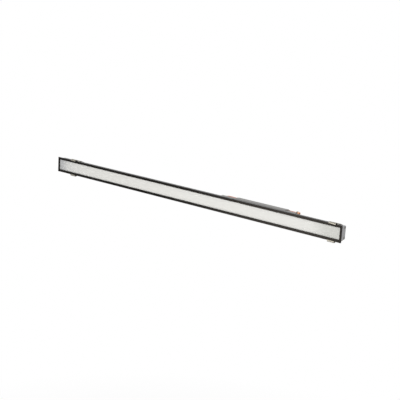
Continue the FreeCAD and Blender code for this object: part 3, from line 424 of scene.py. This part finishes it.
def black_anodised_aluminium(colours):
    """Extruded and dyed: die lines run along the light, and the oxide has a satin sheen."""
    material, surface, add = new_material("black_anodised_aluminium")
    die_lines = grain(add, (120, 1.2, 1.2))
    finish(add, surface, colours.housing, die_lines, 0.06, (0.26, 0.36), bump=0.2, metal=True)
    return material


def powder_coat(name, colour, rough):
    """Baked polyester powder: even, with a faint orange peel, about 1.5 mm from crest to crest."""
    material, surface, add = new_material(name)
    orange_peel = grain(add, (1.5, 1.5, 1.5), detail=2.0)
    finish(add, surface, colour, orange_peel, 0.02, rough, bump=0.35)
    return material


def opal_acrylic(colours):
    """Cast sheet: white and slightly glossy, with painted shade at its ends, most at the left, where
    the housing's end walls shade the sheet.
    """
    material, surface, add = new_material("opal_acrylic")
    where = add("ShaderNodeTexCoord").outputs["Object"]
    along = add("ShaderNodeMapRange", {
        "Value": add("ShaderNodeSeparateXYZ", {"Vector": where}).outputs["X"],
        "From Min": CAD_BOX[0][0], "From Max": CAD_BOX[1][0],
    })
    # The share of the way along the light, and there the share of the way from the painted shade of
    # the left end to the middle's tone.
    left_end_painted_shade = ((0.015, 0.0), (0.040, 0.50), (0.075, 0.70), (0.14, 0.82), (0.50, 1.0), (0.91, 1.0))
    tone = add("ShaderNodeValToRGB", {"Fac": along.outputs["Result"]}, stops=[
        *((place, blend(colours.opal_left_painted_shade, colours.opal, share)) for place, share in left_end_painted_shade),
        # Painted shade at the right end, lighter than at the left.
        (0.955, colours.opal_right_painted_shade),
    ])
    surface.id_data.links.new(tone.outputs["Color"], surface.inputs["Base Color"])
    surface.inputs["Roughness"].default_value = 0.38
    return material


def rolled_stainless(colours):
    """Cold rolled strip: fine streaks in the rolling direction, which runs round the clip."""
    material, surface, add = new_material("rolled_stainless")
    streaks = grain(add, (0.6, 14, 14))
    finish(add, surface, colours.steel, streaks, 0.07, (0.32, 0.46), bump=0.12, metal=True)
    return material


def zinc_plated_steel(colours):
    """Bright zinc: bluish, with soft patches where the passivation is thicker."""
    material, surface, add = new_material("zinc_plated_steel")
    patches = grain(add, (1.4, 1.4, 1.4))
    finish(add, surface, colours.zinc, patches, 0.08, (0.25, 0.4), metal=True)
    return material


def natural_anodised_aluminium(colours):
    """Drawn case: pale metal with die lines along it."""
    material, surface, add = new_material("natural_anodised_aluminium")
    die_lines = grain(add, (90, 0.8, 0.8))
    finish(add, surface, colours.driver, die_lines, 0.05, (0.34, 0.46), bump=0.2, metal=True)
    return material


def silicone_rubber(name, colour, rough):
    """Extruded or pressed silicone: dull, with a dusty bloom."""
    material, surface, add = new_material(name)
    bloom = grain(add, (3, 3, 3), detail=4.0)
    finish(add, surface, colour, bloom, 0.07, rough, bump=0.15)
    return material


def moulded_nylon(name, colour, rough):
    """Glass filled nylon from a spark eroded mould: an even fine grain."""
    material, surface, add = new_material(name)
    spark_grain = grain(add, (0.7, 0.7, 0.7), detail=2.0)
    finish(add, surface, colour, spark_grain, 0.05, rough, bump=0.4)
    return material


def plain_board(name, colour, rough):
    """Solder mask or film over a flat board: even, with a slight unevenness in its gloss."""
    material, surface, add = new_material(name)
    finish(add, surface, colour, grain(add, (6, 6, 6)), 0.03, rough)
    return material


def turned_brass(colour):
    """Turned contacts: warm metal with fine rings round it."""
    material, surface, add = new_material("turned_brass")
    finish(add, surface, colour, grain(add, (0.3, 2, 2)), 0.05, (0.2, 0.3), metal=True)
    return material


def all_materials(colours):
    """Every finish by the name of the record's slot that it belongs to."""
    fixed = {slot: from_hex(code) for slot, code in FIXED_COLOURS.items()}
    return {
        "black_anodised": black_anodised_aluminium(colours),
        "cast_grey": powder_coat("grey_powder_coat", colours.cap, (0.4, 0.5)),
        "opal": opal_acrylic(colours),
        "silicone": silicone_rubber("translucent_silicone", fixed["silicone"], (0.5, 0.6)),
        "stainless": rolled_stainless(colours),
        "plated_steel": zinc_plated_steel(colours),
        "board_white": plain_board("white_solder_mask", fixed["board_white"], (0.35, 0.45)),
        "diode": plain_board("phosphor_gel", fixed["diode"], (0.25, 0.3)),
        "reflector_white": plain_board("white_reflector_film", fixed["reflector_white"], (0.25, 0.3)),
        "thermal_grey": silicone_rubber("thermal_pad_grey", fixed["thermal_grey"], (0.6, 0.7)),
        "tray_grey": powder_coat("light_grey_powder_coat", colours.tray, (0.42, 0.52)),
        "driver_silver": natural_anodised_aluminium(colours),
        "board_green": plain_board("green_solder_mask", fixed["board_green"], (0.3, 0.4)),
        "component_dark": moulded_nylon("epoxy_moulding", fixed["component_dark"], (0.4, 0.5)),
        "cable_brown": silicone_rubber("terracotta_silicone", colours.cable, (0.42, 0.55)),
        "bush_black": silicone_rubber("black_rubber", colours.moulding, (0.5, 0.62)),
        "bush_grey": silicone_rubber("grey_silicone", colours.bush, (0.5, 0.62)),
        "inlet_orange": moulded_nylon("orange_nylon", colours.inlet, (0.3, 0.4)),
        "contact_brass": turned_brass(fixed["contact_brass"]),
        "moulding_black": moulded_nylon("black_nylon", colours.moulding, (0.42, 0.52)),
    }


class WASHER_OT_finishes(bpy.types.Operator):
    """Gives every CAD piece the finish that the record names for it"""

    bl_idname = "washer.finishes"
    bl_label = "Finishes"

    def execute(self, context):
        materials = all_materials(context.scene.washer_colours)
        for row in frame["record"]["subparts"]:
            piece = frame["nodes"][row["node"]]
            piece.data.materials.clear()
            piece.data.materials.append(materials[row["material_slot"]])
        return {"FINISHED"}


# ---------------------------------------------------------------- fittings

# Places in mm: along the light from its middle, depth behind the front face, height of the line.
CLIP_CENTRES = {"left": -434.0, "right": 472.3}
HOUSING_BACK = 26.0
TRAY_BACK = 27.2
TRAY_RIGHT = 344.5
TRAY_SCREWS_X = (120.0, 330.5)
DRIVER_LEFT, DRIVER_RIGHT = 155.0, 315.0
FOOT_THICK = 1.5
FOOT_SCREW_OUT = 3.25
PLATE_SCREWS = ((30.6, 14.2), (30.6, -11.2), (43.6, -11.2))
CABLE_LINE = (43.0, 13.8)
CAP_SEAT = 494.6
PORT_LINE = (21.2, 12.9)
PIVOT_LINE = (42.0, -12.0)
FRAME_SEAT = 4.2
RAIL_SCREWS, RAIL_SCREW_PITCH, RAIL_SCREW_HIGH = 10, 104.0, 20.05
BAR_SCREW_X, BAR_SCREW_HIGH = 498.3, 12.0
RIVET_IN, RIVET_SEAT, RIVETS_HIGH = 5.0, 36.5, (5.5, -2.5)
BOLT_SEAT, NUT_SEAT = 4.0, -0.15    # from the clip's centre
VENT_X = -150.0
ENTRY_LOW, ENTRY_HIGH = (85.5, 26.0, -15.0), (102.5, 40.0, -6.0)
GLAND_FOOT, GLAND_AIM = (97.5, 36.5, -4.2), (-4.5, -1.8, -7.2)
CONTACT_CIRCLE = 1.4


class WASHER_OT_frame_screws(bpy.types.Operator):
    """Adds the small screws that hold the front frame from behind"""

    bl_idname = "washer.frame_screws"
    bl_label = "Frame screws"

    def execute(self, context):
        radius = context.scene.washer_sizes.frame_head / MM
        middle = (RAIL_SCREWS - 1) / 2
        places = [
            at(RAIL_SCREW_PITCH * (k - middle), FRAME_SEAT, z)
            for z in (-RAIL_SCREW_HIGH, RAIL_SCREW_HIGH) for k in range(RAIL_SCREWS)
        ]
        places += [
            at(x, FRAME_SEAT, z)
            for x in (-BAR_SCREW_X, BAR_SCREW_X) for z in (-BAR_SCREW_HIGH, BAR_SCREW_HIGH)
        ]
        screw = pan_head_screw(radius, high=1.2, shank=0.9, long=3.2)
        shape = spread(screw, places, FACING["back"], roll=0.7)
        add_piece("frame_screw_set", shape, "luminaire", "plated_steel", "frame_screws")
        return {"FINISHED"}


class WASHER_OT_panel_screws(bpy.types.Operator):
    """Adds the screws of the driver tray and of the driver's feet"""

    bl_idname = "washer.panel_screws"
    bl_label = "Panel screws"

    def execute(self, context):
        radius = context.scene.washer_sizes.panel_head / MM
        places = [at(x, TRAY_BACK, z) for x in TRAY_SCREWS_X for z in (-11.6, 11.6)]
        screw = pan_head_screw(radius, high=1.7, shank=1.4, long=4.0)
        shape = spread(screw, places, FACING["back"], roll=1.1)
        add_piece("tray_screw_set", shape, "luminaire", "plated_steel", "tray_screws")

        feet = (DRIVER_LEFT - FOOT_SCREW_OUT, DRIVER_RIGHT + FOOT_SCREW_OUT)
        places = [at(x, TRAY_BACK + FOOT_THICK, z) for x in feet for z in (-7, 7)]
        screw = pan_head_screw(radius, high=1.7, shank=1.4, long=2.7)
        shape = spread(screw, places, FACING["back"], roll=0.9)
        add_piece("driver_screw_set", shape, "luminaire", "plated_steel", "driver_screws")
        return {"FINISHED"}


class WASHER_OT_end_screws(bpy.types.Operator):
    """Adds the sunk screws of the end caps and the small ones of the driver's end plates"""

    bl_idname = "washer.end_screws"
    bl_label = "End screws"

    def execute(self, context):
        sizes = context.scene.washer_sizes
        caps = []
        plates = []
        behind, port = PORT_LINE
        for side, cap_x, plate_x in (
            ("right", CAP_SEAT, DRIVER_RIGHT), ("left", -CAP_SEAT, DRIVER_LEFT),
        ):
            screw = pan_head_screw(sizes.cap_head / MM, high=1.7, shank=1.4, long=14)
            places = [at(cap_x, behind, z) for z in (-port, port)]
            caps.append(spread(screw, places, FACING[side], roll=0.5))
            screw = pan_head_screw(sizes.plate_head / MM, high=0.9, shank=0.8, long=1.6)
            places = [at(plate_x, *place) for place in PLATE_SCREWS]
            plates.append(spread(screw, places, FACING[side], roll=0.8))
        add_piece("end_cap_screw_set", join(*caps), "luminaire", "stainless", "end_cap_screws")
        add_piece("driver_end_screw_set", join(*plates), "luminaire", "plated_steel")
        return {"FINISHED"}


class WASHER_OT_rivets(bpy.types.Operator):
    """Adds the blind rivets that join each clip to its tilt arm"""

    bl_idname = "washer.rivets"
    bl_label = "Rivets"

    def execute(self, context):
        head = context.scene.washer_sizes.rivet_head / MM
        rivet = turned([
            (0, 0.45), (0.62, 0.45), (0.75, 0.9), (0.5 * head, 0.86), (0.8 * head, 0.6),
            (0.97 * head, 0.2), (head, 0), (1.6, 0), (1.6, -2.5), (head, -2.5),
            (0.95 * head, -2.75), (0.7 * head, -3.1), (0, -3.3),
        ])
        places = [
            at(centre - RIVET_IN, RIVET_SEAT, z)
            for centre in CLIP_CENTRES.values() for z in RIVETS_HIGH
        ]
        shape = spread(rivet, places, FACING["back"])
        add_piece("clip_rivet_set", shape, "clips", "plated_steel", "clip_rivets")
        return {"FINISHED"}


class WASHER_OT_pivots(bpy.types.Operator):
    """Adds the socket head bolts and the lock nuts that the light tilts on"""

    bl_idname = "washer.pivots"
    bl_label = "Pivots"

    def execute(self, context):
        sizes = context.scene.washer_sizes
        head, flats = sizes.bolt_head / MM, sizes.nut / MM
        thread = [
            point for k in range(4) for point in ((2.5, -8.75 - 0.3 * k), (2.25, -8.9 - 0.3 * k))
        ]
        bolt = turned([
            (0, 3), (head - 0.6, 3), (head - 0.2, 2.85), (head, 2.5), (head, 0.2), (head - 0.2, 0),
            (2.5, 0), *thread, (1.9, -10), (0, -10),
        ], steps=36)
        hexagon_socket(bolt, sizes.socket / MM, floor=1.2)
        places = [at(centre + BOLT_SEAT, *PIVOT_LINE) for centre in CLIP_CENTRES.values()]
        shape = spread(bolt, places, FACING["right"], roll=0.4)
        add_piece("pivot_bolt_set", shape, "wall", "plated_steel", "pivot_bolts")

        bore, high = 2.55, 3.4
        collar = turned([
            (bore, high), (flats / 2 - 0.1, high), (flats / 2 - 0.35, high + 1),
            (flats / 2 - 0.9, high + 1.4), (bore, high + 1.4),
        ], steps=36, ring=True)
        nut = join(hexagon_nut(flats, high, bore, edge=0.35), collar)
        places = [at(centre + NUT_SEAT, *PIVOT_LINE) for centre in CLIP_CENTRES.values()]
        shape = spread(nut, places, FACING["left"], roll=0.3)
        add_piece("pivot_nut_set", shape, "wall", "plated_steel", "pivot_nuts")
        return {"FINISHED"}


class WASHER_OT_bushes(bpy.types.Operator):
    """Adds the ribbed silicone bushes that the cables leave the driver through"""

    bl_idname = "washer.bushes"
    bl_label = "Cable bushes"

    def execute(self, context):
        sizes = context.scene.washer_sizes
        wide, hole = sizes.bush / MM, sizes.cable_hole / MM
        ribs = []
        for k in range(3):
            low, crest = 1.3 + 1.2 * k, wide - 0.2 * (k + 1)
            ribs += [
                (crest - 0.35, low), (crest, low + 0.3),
                (crest, low + 0.75), (crest - 0.35, low + 1.05),
            ]
        for side, x in (("left", DRIVER_LEFT), ("right", DRIVER_RIGHT)):
            bush = turned([
                (hole, -2), (hole + 0.5, -2), (hole + 0.5, 0), (wide - 0.15, 0), (wide, 0.2),
                (wide, 0.9), (wide - 0.2, 1.1), *ribs, (hole + 0.35, 5), (hole, 5),
            ], steps=28, ring=True)
            shape = spread(bush, [at(x, *CABLE_LINE)], FACING[side])
            node = f"driver_grommet_{side}"
            add_piece(f"cable_bush_{side}", shape, "luminaire", "bush_grey", node)
        return {"FINISHED"}


class WASHER_OT_inlet(bpy.types.Operator):
    """Adds the threaded orange inlet with its contacts and its nut"""

    bl_idname = "washer.inlet"
    bl_label = "Mains inlet"

    def execute(self, context):
        sizes = context.scene.washer_sizes
        flange, socket = sizes.inlet_flange / MM, sizes.inlet_socket / MM
        collar, tail = flange - 0.4, 3.4
        thread = [
            point for low in (4.7 - 0.75 * k for k in range(4))
            for point in ((collar, low + 0.5), (collar, low + 0.3), (collar - 0.3, low))
        ]
        body = turned([
            (0, 0), (socket, 0), (socket, 5.4), (socket + 0.2, 5.6), (collar - 0.25, 5.6), *thread,
            (collar - 0.3, 2), (flange - 0.15, 2), (flange, 1.85), (flange, 0.2),
            (flange - 0.15, 0), (tail, 0), (tail, -5.9), (tail - 0.3, -6.2), (0, -6.2),
        ], steps=40)
        behind, high = CABLE_LINE
        shape = spread(body, [at(TRAY_RIGHT, behind, high)], FACING["right"])
        add_piece("inlet_body", shape, "luminaire", "inlet_orange", "mains_inlet")

        pin = turned([(0, 3), (0.28, 2.93), (0.45, 2.7), (0.5, 2.4), (0.5, 0), (0, 0)], steps=16)
        places = [
            at(
                TRAY_RIGHT, behind + CONTACT_CIRCLE * math.cos(turn),
                high + CONTACT_CIRCLE * math.sin(turn),
            )
            for turn in (math.pi / 2 + math.tau * k / 3 for k in range(3))
        ]
        shape = spread(pin, places, FACING["right"])
        add_piece("inlet_contacts", shape, "luminaire", "contact_brass", "inlet_pins")

        nut = hexagon_nut(8.8, high=2.4, bore=3.45, edge=0.3)
        upright = FACING["left"] @ Matrix.Rotation(math.pi / 6, 4, "Z")
        shape = spread(nut, [at(TRAY_RIGHT - 1.2, behind, high)], upright)
        add_piece("inlet_lock_nut", shape, "luminaire", "plated_steel", "inlet_nut")
        return {"FINISHED"}


class WASHER_OT_vent(bpy.types.Operator):
    """Adds the breather vent with its ringed cap"""

    bl_idname = "washer.vent"
    bl_label = "Breather vent"

    def execute(self, context):
        flats = context.scene.washer_sizes.vent / MM
        cap = turned([
            (0, 5.2), (1.3, 5.2), (1.45, 4.8), (2.1, 4.8), (2.25, 5.2), (3.1, 5.15), (4.0, 4.85),
            (4.4, 4.4), (4.4, 4), (2.55, 3.9), (2.55, -2), (0, -2),
        ], steps=36)
        nut = hexagon_nut(flats, high=4, bore=2.55, edge=0.5)
        shape = spread(join(nut, cap), [at(VENT_X, HOUSING_BACK, 0)], FACING["back"])
        add_piece("breather_vent_cap", shape, "luminaire", "moulding_black", "breather_vent")
        return {"FINISHED"}


class WASHER_OT_entry(bpy.types.Operator):
    """Adds the rounded block and gland that take the output cable into the housing"""

    bl_idname = "washer.entry"
    bl_label = "Cable entry"

    def execute(self, context):
        sizes = context.scene.washer_sizes
        block = bmesh.new()
        low, high = at(*ENTRY_LOW), at(*ENTRY_HIGH)
        bmesh.ops.create_cube(block, size=1)
        bmesh.ops.scale(block, verts=block.verts, vec=high - low)
        bmesh.ops.translate(block, verts=block.verts, vec=(low + high) / 2)
        clear = low.y + 0.1 * MM    # the edges against the housing stay sharp
        rims = [line for line in block.edges if max(vert.co.y for vert in line.verts) > clear]
        bmesh.ops.bevel(
            block, geom=rims, offset=sizes.block_round, segments=4, profile=0.5, affect="EDGES",
            material=-1,
        )
        wide = sizes.gland / MM
        groove = wide - 0.25
        ribs = [
            point for k in range(3)
            for point in ((wide, 1.3 + k), (wide, 1.8 + k), (groove, 1.95 + k), (groove, 2.15 + k))
        ]
        gland = turned([
            (0, 0), (2.7, 0), (wide - 0.9, 0.3), (wide - 0.2, 0.9), *ribs,
            (wide, 4.5), (wide, 10), (0, 10),
        ], steps=32)
        along = Vector(GLAND_AIM).to_track_quat("Z", "Y").to_matrix().to_4x4()
        shape = join(block, spread(gland, [at(*GLAND_FOOT)], along))
        add_piece("cable_entry_gland", shape, "luminaire", "moulding_black", "cable_entry")
        return {"FINISHED"}


# ---------------------------------------------------------------- stage

# The camera was fitted to the frame's corners: its place in metres, its axes and its shift.
CAMERA_PLACE = (1.617408, -2.019711, 0.600109)
CAMERA_RIGHT = (0.773654, 0.630693, 0.060714)
CAMERA_UP = (-0.193636, 0.144109, 0.970432)
CAMERA_BACK = (0.603295, -0.762535, 0.233615)
CAMERA_SHIFT = (-0.00125, 0.00125)
SENSOR_WIDTH = 36
FLOOR_SIZE = 60
CARD_PLACE, CARD_SIZE = (-2.42, -2.5, -0.1), (1.5, 2.4)

# Each lamp's name, place and size in metres, and the setting that holds its power.
LAMPS = (
    ("key_lamp", (-0.9, -2.6, 1.6), (2.2, 1.6), "key_power"),
    ("low_lamp", (-1.12, -2.4, -0.7), (0.75, 0.8), "low_power"),
    ("top_lamp", (0.2, -0.2, 2.4), (2.4, 1.6), "top_power"),
    ("edge_lamp", (-3.4, -2.4, -0.8), (0.4, 0.9), "edge_power"),
    ("side_lamp", (2.8, -0.4, 0.8), (1.4, 1.4), "side_power"),
)


def area_lamp(name, place, size, power):
    """A soft rectangular lamp that looks at the middle of the light."""
    lamp = bpy.data.lights.new(name, "AREA")
    lamp.shape = "RECTANGLE"
    lamp.size, lamp.size_y = size
    lamp.energy = power
    holder = bpy.data.objects.new(name, lamp)
    holder.location = place
    holder.rotation_mode = "QUATERNION"
    holder.rotation_quaternion = (-Vector(place)).to_track_quat("-Z", "Y")
    bpy.context.scene.collection.objects.link(holder)


def seen_directly(add):
    """One where the camera looks, straight, in a mirror or through glass, and nought elsewhere."""
    path = add("ShaderNodeLightPath")
    mirrored = add("ShaderNodeMath", {
        0: path.outputs["Is Camera Ray"], 1: path.outputs["Is Glossy Ray"],
    }, operation="MAXIMUM")
    return add("ShaderNodeMath", {
        0: mirrored.outputs["Value"], 1: path.outputs["Is Transmission Ray"],
    }, operation="MAXIMUM").outputs["Value"]


def studio_world(ambient):
    """Even light from all round, which is seen as plain white."""
    world = bpy.data.worlds.new("studio")
    add = emptied(world)
    light = add("ShaderNodeBackground", {"Color": (1, 1, 1, 1), "Strength": ambient})
    white = add("ShaderNodeBackground", {"Color": (1, 1, 1, 1), "Strength": 1.0})
    sky = add("ShaderNodeMixShader", {
        0: seen_directly(add), 1: light.outputs["Background"], 2: white.outputs["Background"],
    })
    add("ShaderNodeOutputWorld", {"Surface": sky.outputs["Shader"]})
    return world


def white_paper():
    """Matt paper that shows white and keeps a soft shadow under the light, less so further away."""
    paper = bpy.data.materials.new("white_paper")
    add = emptied(paper)
    matt = add("ShaderNodeBsdfDiffuse", {"Color": (0.95, 0.95, 0.95, 1)})
    white = add("ShaderNodeEmission", {"Color": (1, 1, 1, 1), "Strength": 1.0})
    where = add("ShaderNodeTexCoord").outputs["Object"]
    away = add("ShaderNodeVectorMath", {0: where}, operation="LENGTH")
    share = add("ShaderNodeMapRange", {
        "Value": away.outputs["Value"], "From Min": 0.4, "From Max": 1.5,
        "To Min": 0.7, "To Max": 1.0,
    })
    glow = add("ShaderNodeMath", {
        0: seen_directly(add), 1: share.outputs["Result"],
    }, operation="MULTIPLY")
    look = add("ShaderNodeMixShader", {
        0: glow.outputs["Value"], 1: matt.outputs["BSDF"], 2: white.outputs["Emission"],
    })
    add("ShaderNodeOutputMaterial", {"Surface": look.outputs["Shader"]})
    return paper


def black_card():
    """A dull black card that darkens what the left of the light mirrors."""
    card = bpy.data.materials.new("black_card")
    add = emptied(card)
    matt = add("ShaderNodeBsdfDiffuse", {"Color": (0.02, 0.02, 0.02, 1)})
    add("ShaderNodeOutputMaterial", {"Surface": matt.outputs["BSDF"]})
    return card


def plain_sheet(name, wide, high, material):
    """A flat sheet of the studio."""
    sheet = bmesh.new()
    bmesh.ops.create_grid(sheet, x_segments=1, y_segments=1, size=0.5)
    bmesh.ops.scale(sheet, verts=sheet.verts, vec=(wide, high, 1))
    mesh = bpy.data.meshes.new(name)
    sheet.to_mesh(mesh)
    sheet.free()
    mesh.materials.append(material)
    holder = bpy.data.objects.new(name, mesh)
    bpy.context.scene.collection.objects.link(holder)
    return holder


class WASHER_OT_stage(bpy.types.Operator):
    """Builds the camera, the pale floor and the soft lamps"""

    bl_idname = "washer.stage"
    bl_label = "Stage"

    def execute(self, context):
        scene = context.scene
        stage = scene.washer_stage
        scene.view_settings.view_transform = "Standard"

        camera = bpy.data.objects.new("camera", bpy.data.cameras.new("camera"))
        camera.data.lens = stage.lens
        camera.data.sensor_width = SENSOR_WIDTH
        camera.data.shift_x, camera.data.shift_y = CAMERA_SHIFT
        turn = Matrix((CAMERA_RIGHT, CAMERA_UP, CAMERA_BACK)).transposed().to_4x4()
        camera.matrix_world = Matrix.Translation(CAMERA_PLACE) @ turn
        scene.collection.objects.link(camera)
        scene.camera = camera

        floor = plain_sheet("floor", FLOOR_SIZE, FLOOR_SIZE, white_paper())
        floor.location.z = -stage.floor_drop

        card = plain_sheet("dark_card", *CARD_SIZE, black_card())
        card.location = CARD_PLACE
        card.rotation_mode = "QUATERNION"
        card.rotation_quaternion = Vector((0, 1, 0)).to_track_quat("Z", "Y")
        card.visible_camera = False

        scene.world = studio_world(stage.ambient)
        for name, place, size, power in LAMPS:
            area_lamp(name, place, size, getattr(stage, power))
        return {"FINISHED"}


class WASHER_PT_panel(bpy.types.Panel):
    """Lists the steps that build the scene"""

    bl_idname = "WASHER_PT_panel"
    bl_label = "Wall washer"
    bl_space_type = "VIEW_3D"
    bl_region_type = "UI"
    bl_category = "Wall washer"

    def draw(self, context):
        for operator in OPERATORS:
            self.layout.operator(operator.bl_idname)
        scene = context.scene
        for group in (scene.washer_colours, scene.washer_sizes, scene.washer_stage):
            for name in group.__annotations__:
                self.layout.prop(group, name)


OPERATORS = (
    WASHER_OT_finishes,
    WASHER_OT_frame_screws,
    WASHER_OT_panel_screws,
    WASHER_OT_end_screws,
    WASHER_OT_rivets,
    WASHER_OT_pivots,
    WASHER_OT_bushes,
    WASHER_OT_inlet,
    WASHER_OT_vent,
    WASHER_OT_entry,
    WASHER_OT_stage,
)
CLASSES = (WasherColours, WasherSizes, WasherStage, *OPERATORS, WASHER_PT_panel)


def register():
    for cls in CLASSES:
        bpy.utils.register_class(cls)
    bpy.types.Scene.washer_colours = PointerProperty(type=WasherColours)
    bpy.types.Scene.washer_sizes = PointerProperty(type=WasherSizes)
    bpy.types.Scene.washer_stage = PointerProperty(type=WasherStage)


def unregister():
    del bpy.types.Scene.washer_stage
    del bpy.types.Scene.washer_sizes
    del bpy.types.Scene.washer_colours
    for cls in reversed(CLASSES):
        bpy.utils.unregister_class(cls)


def main():
    register()
    for operator in OPERATORS:
        area, name = operator.bl_idname.split(".")
        getattr(getattr(bpy.ops, area), name)()


if __name__ == "__main__":
    main()
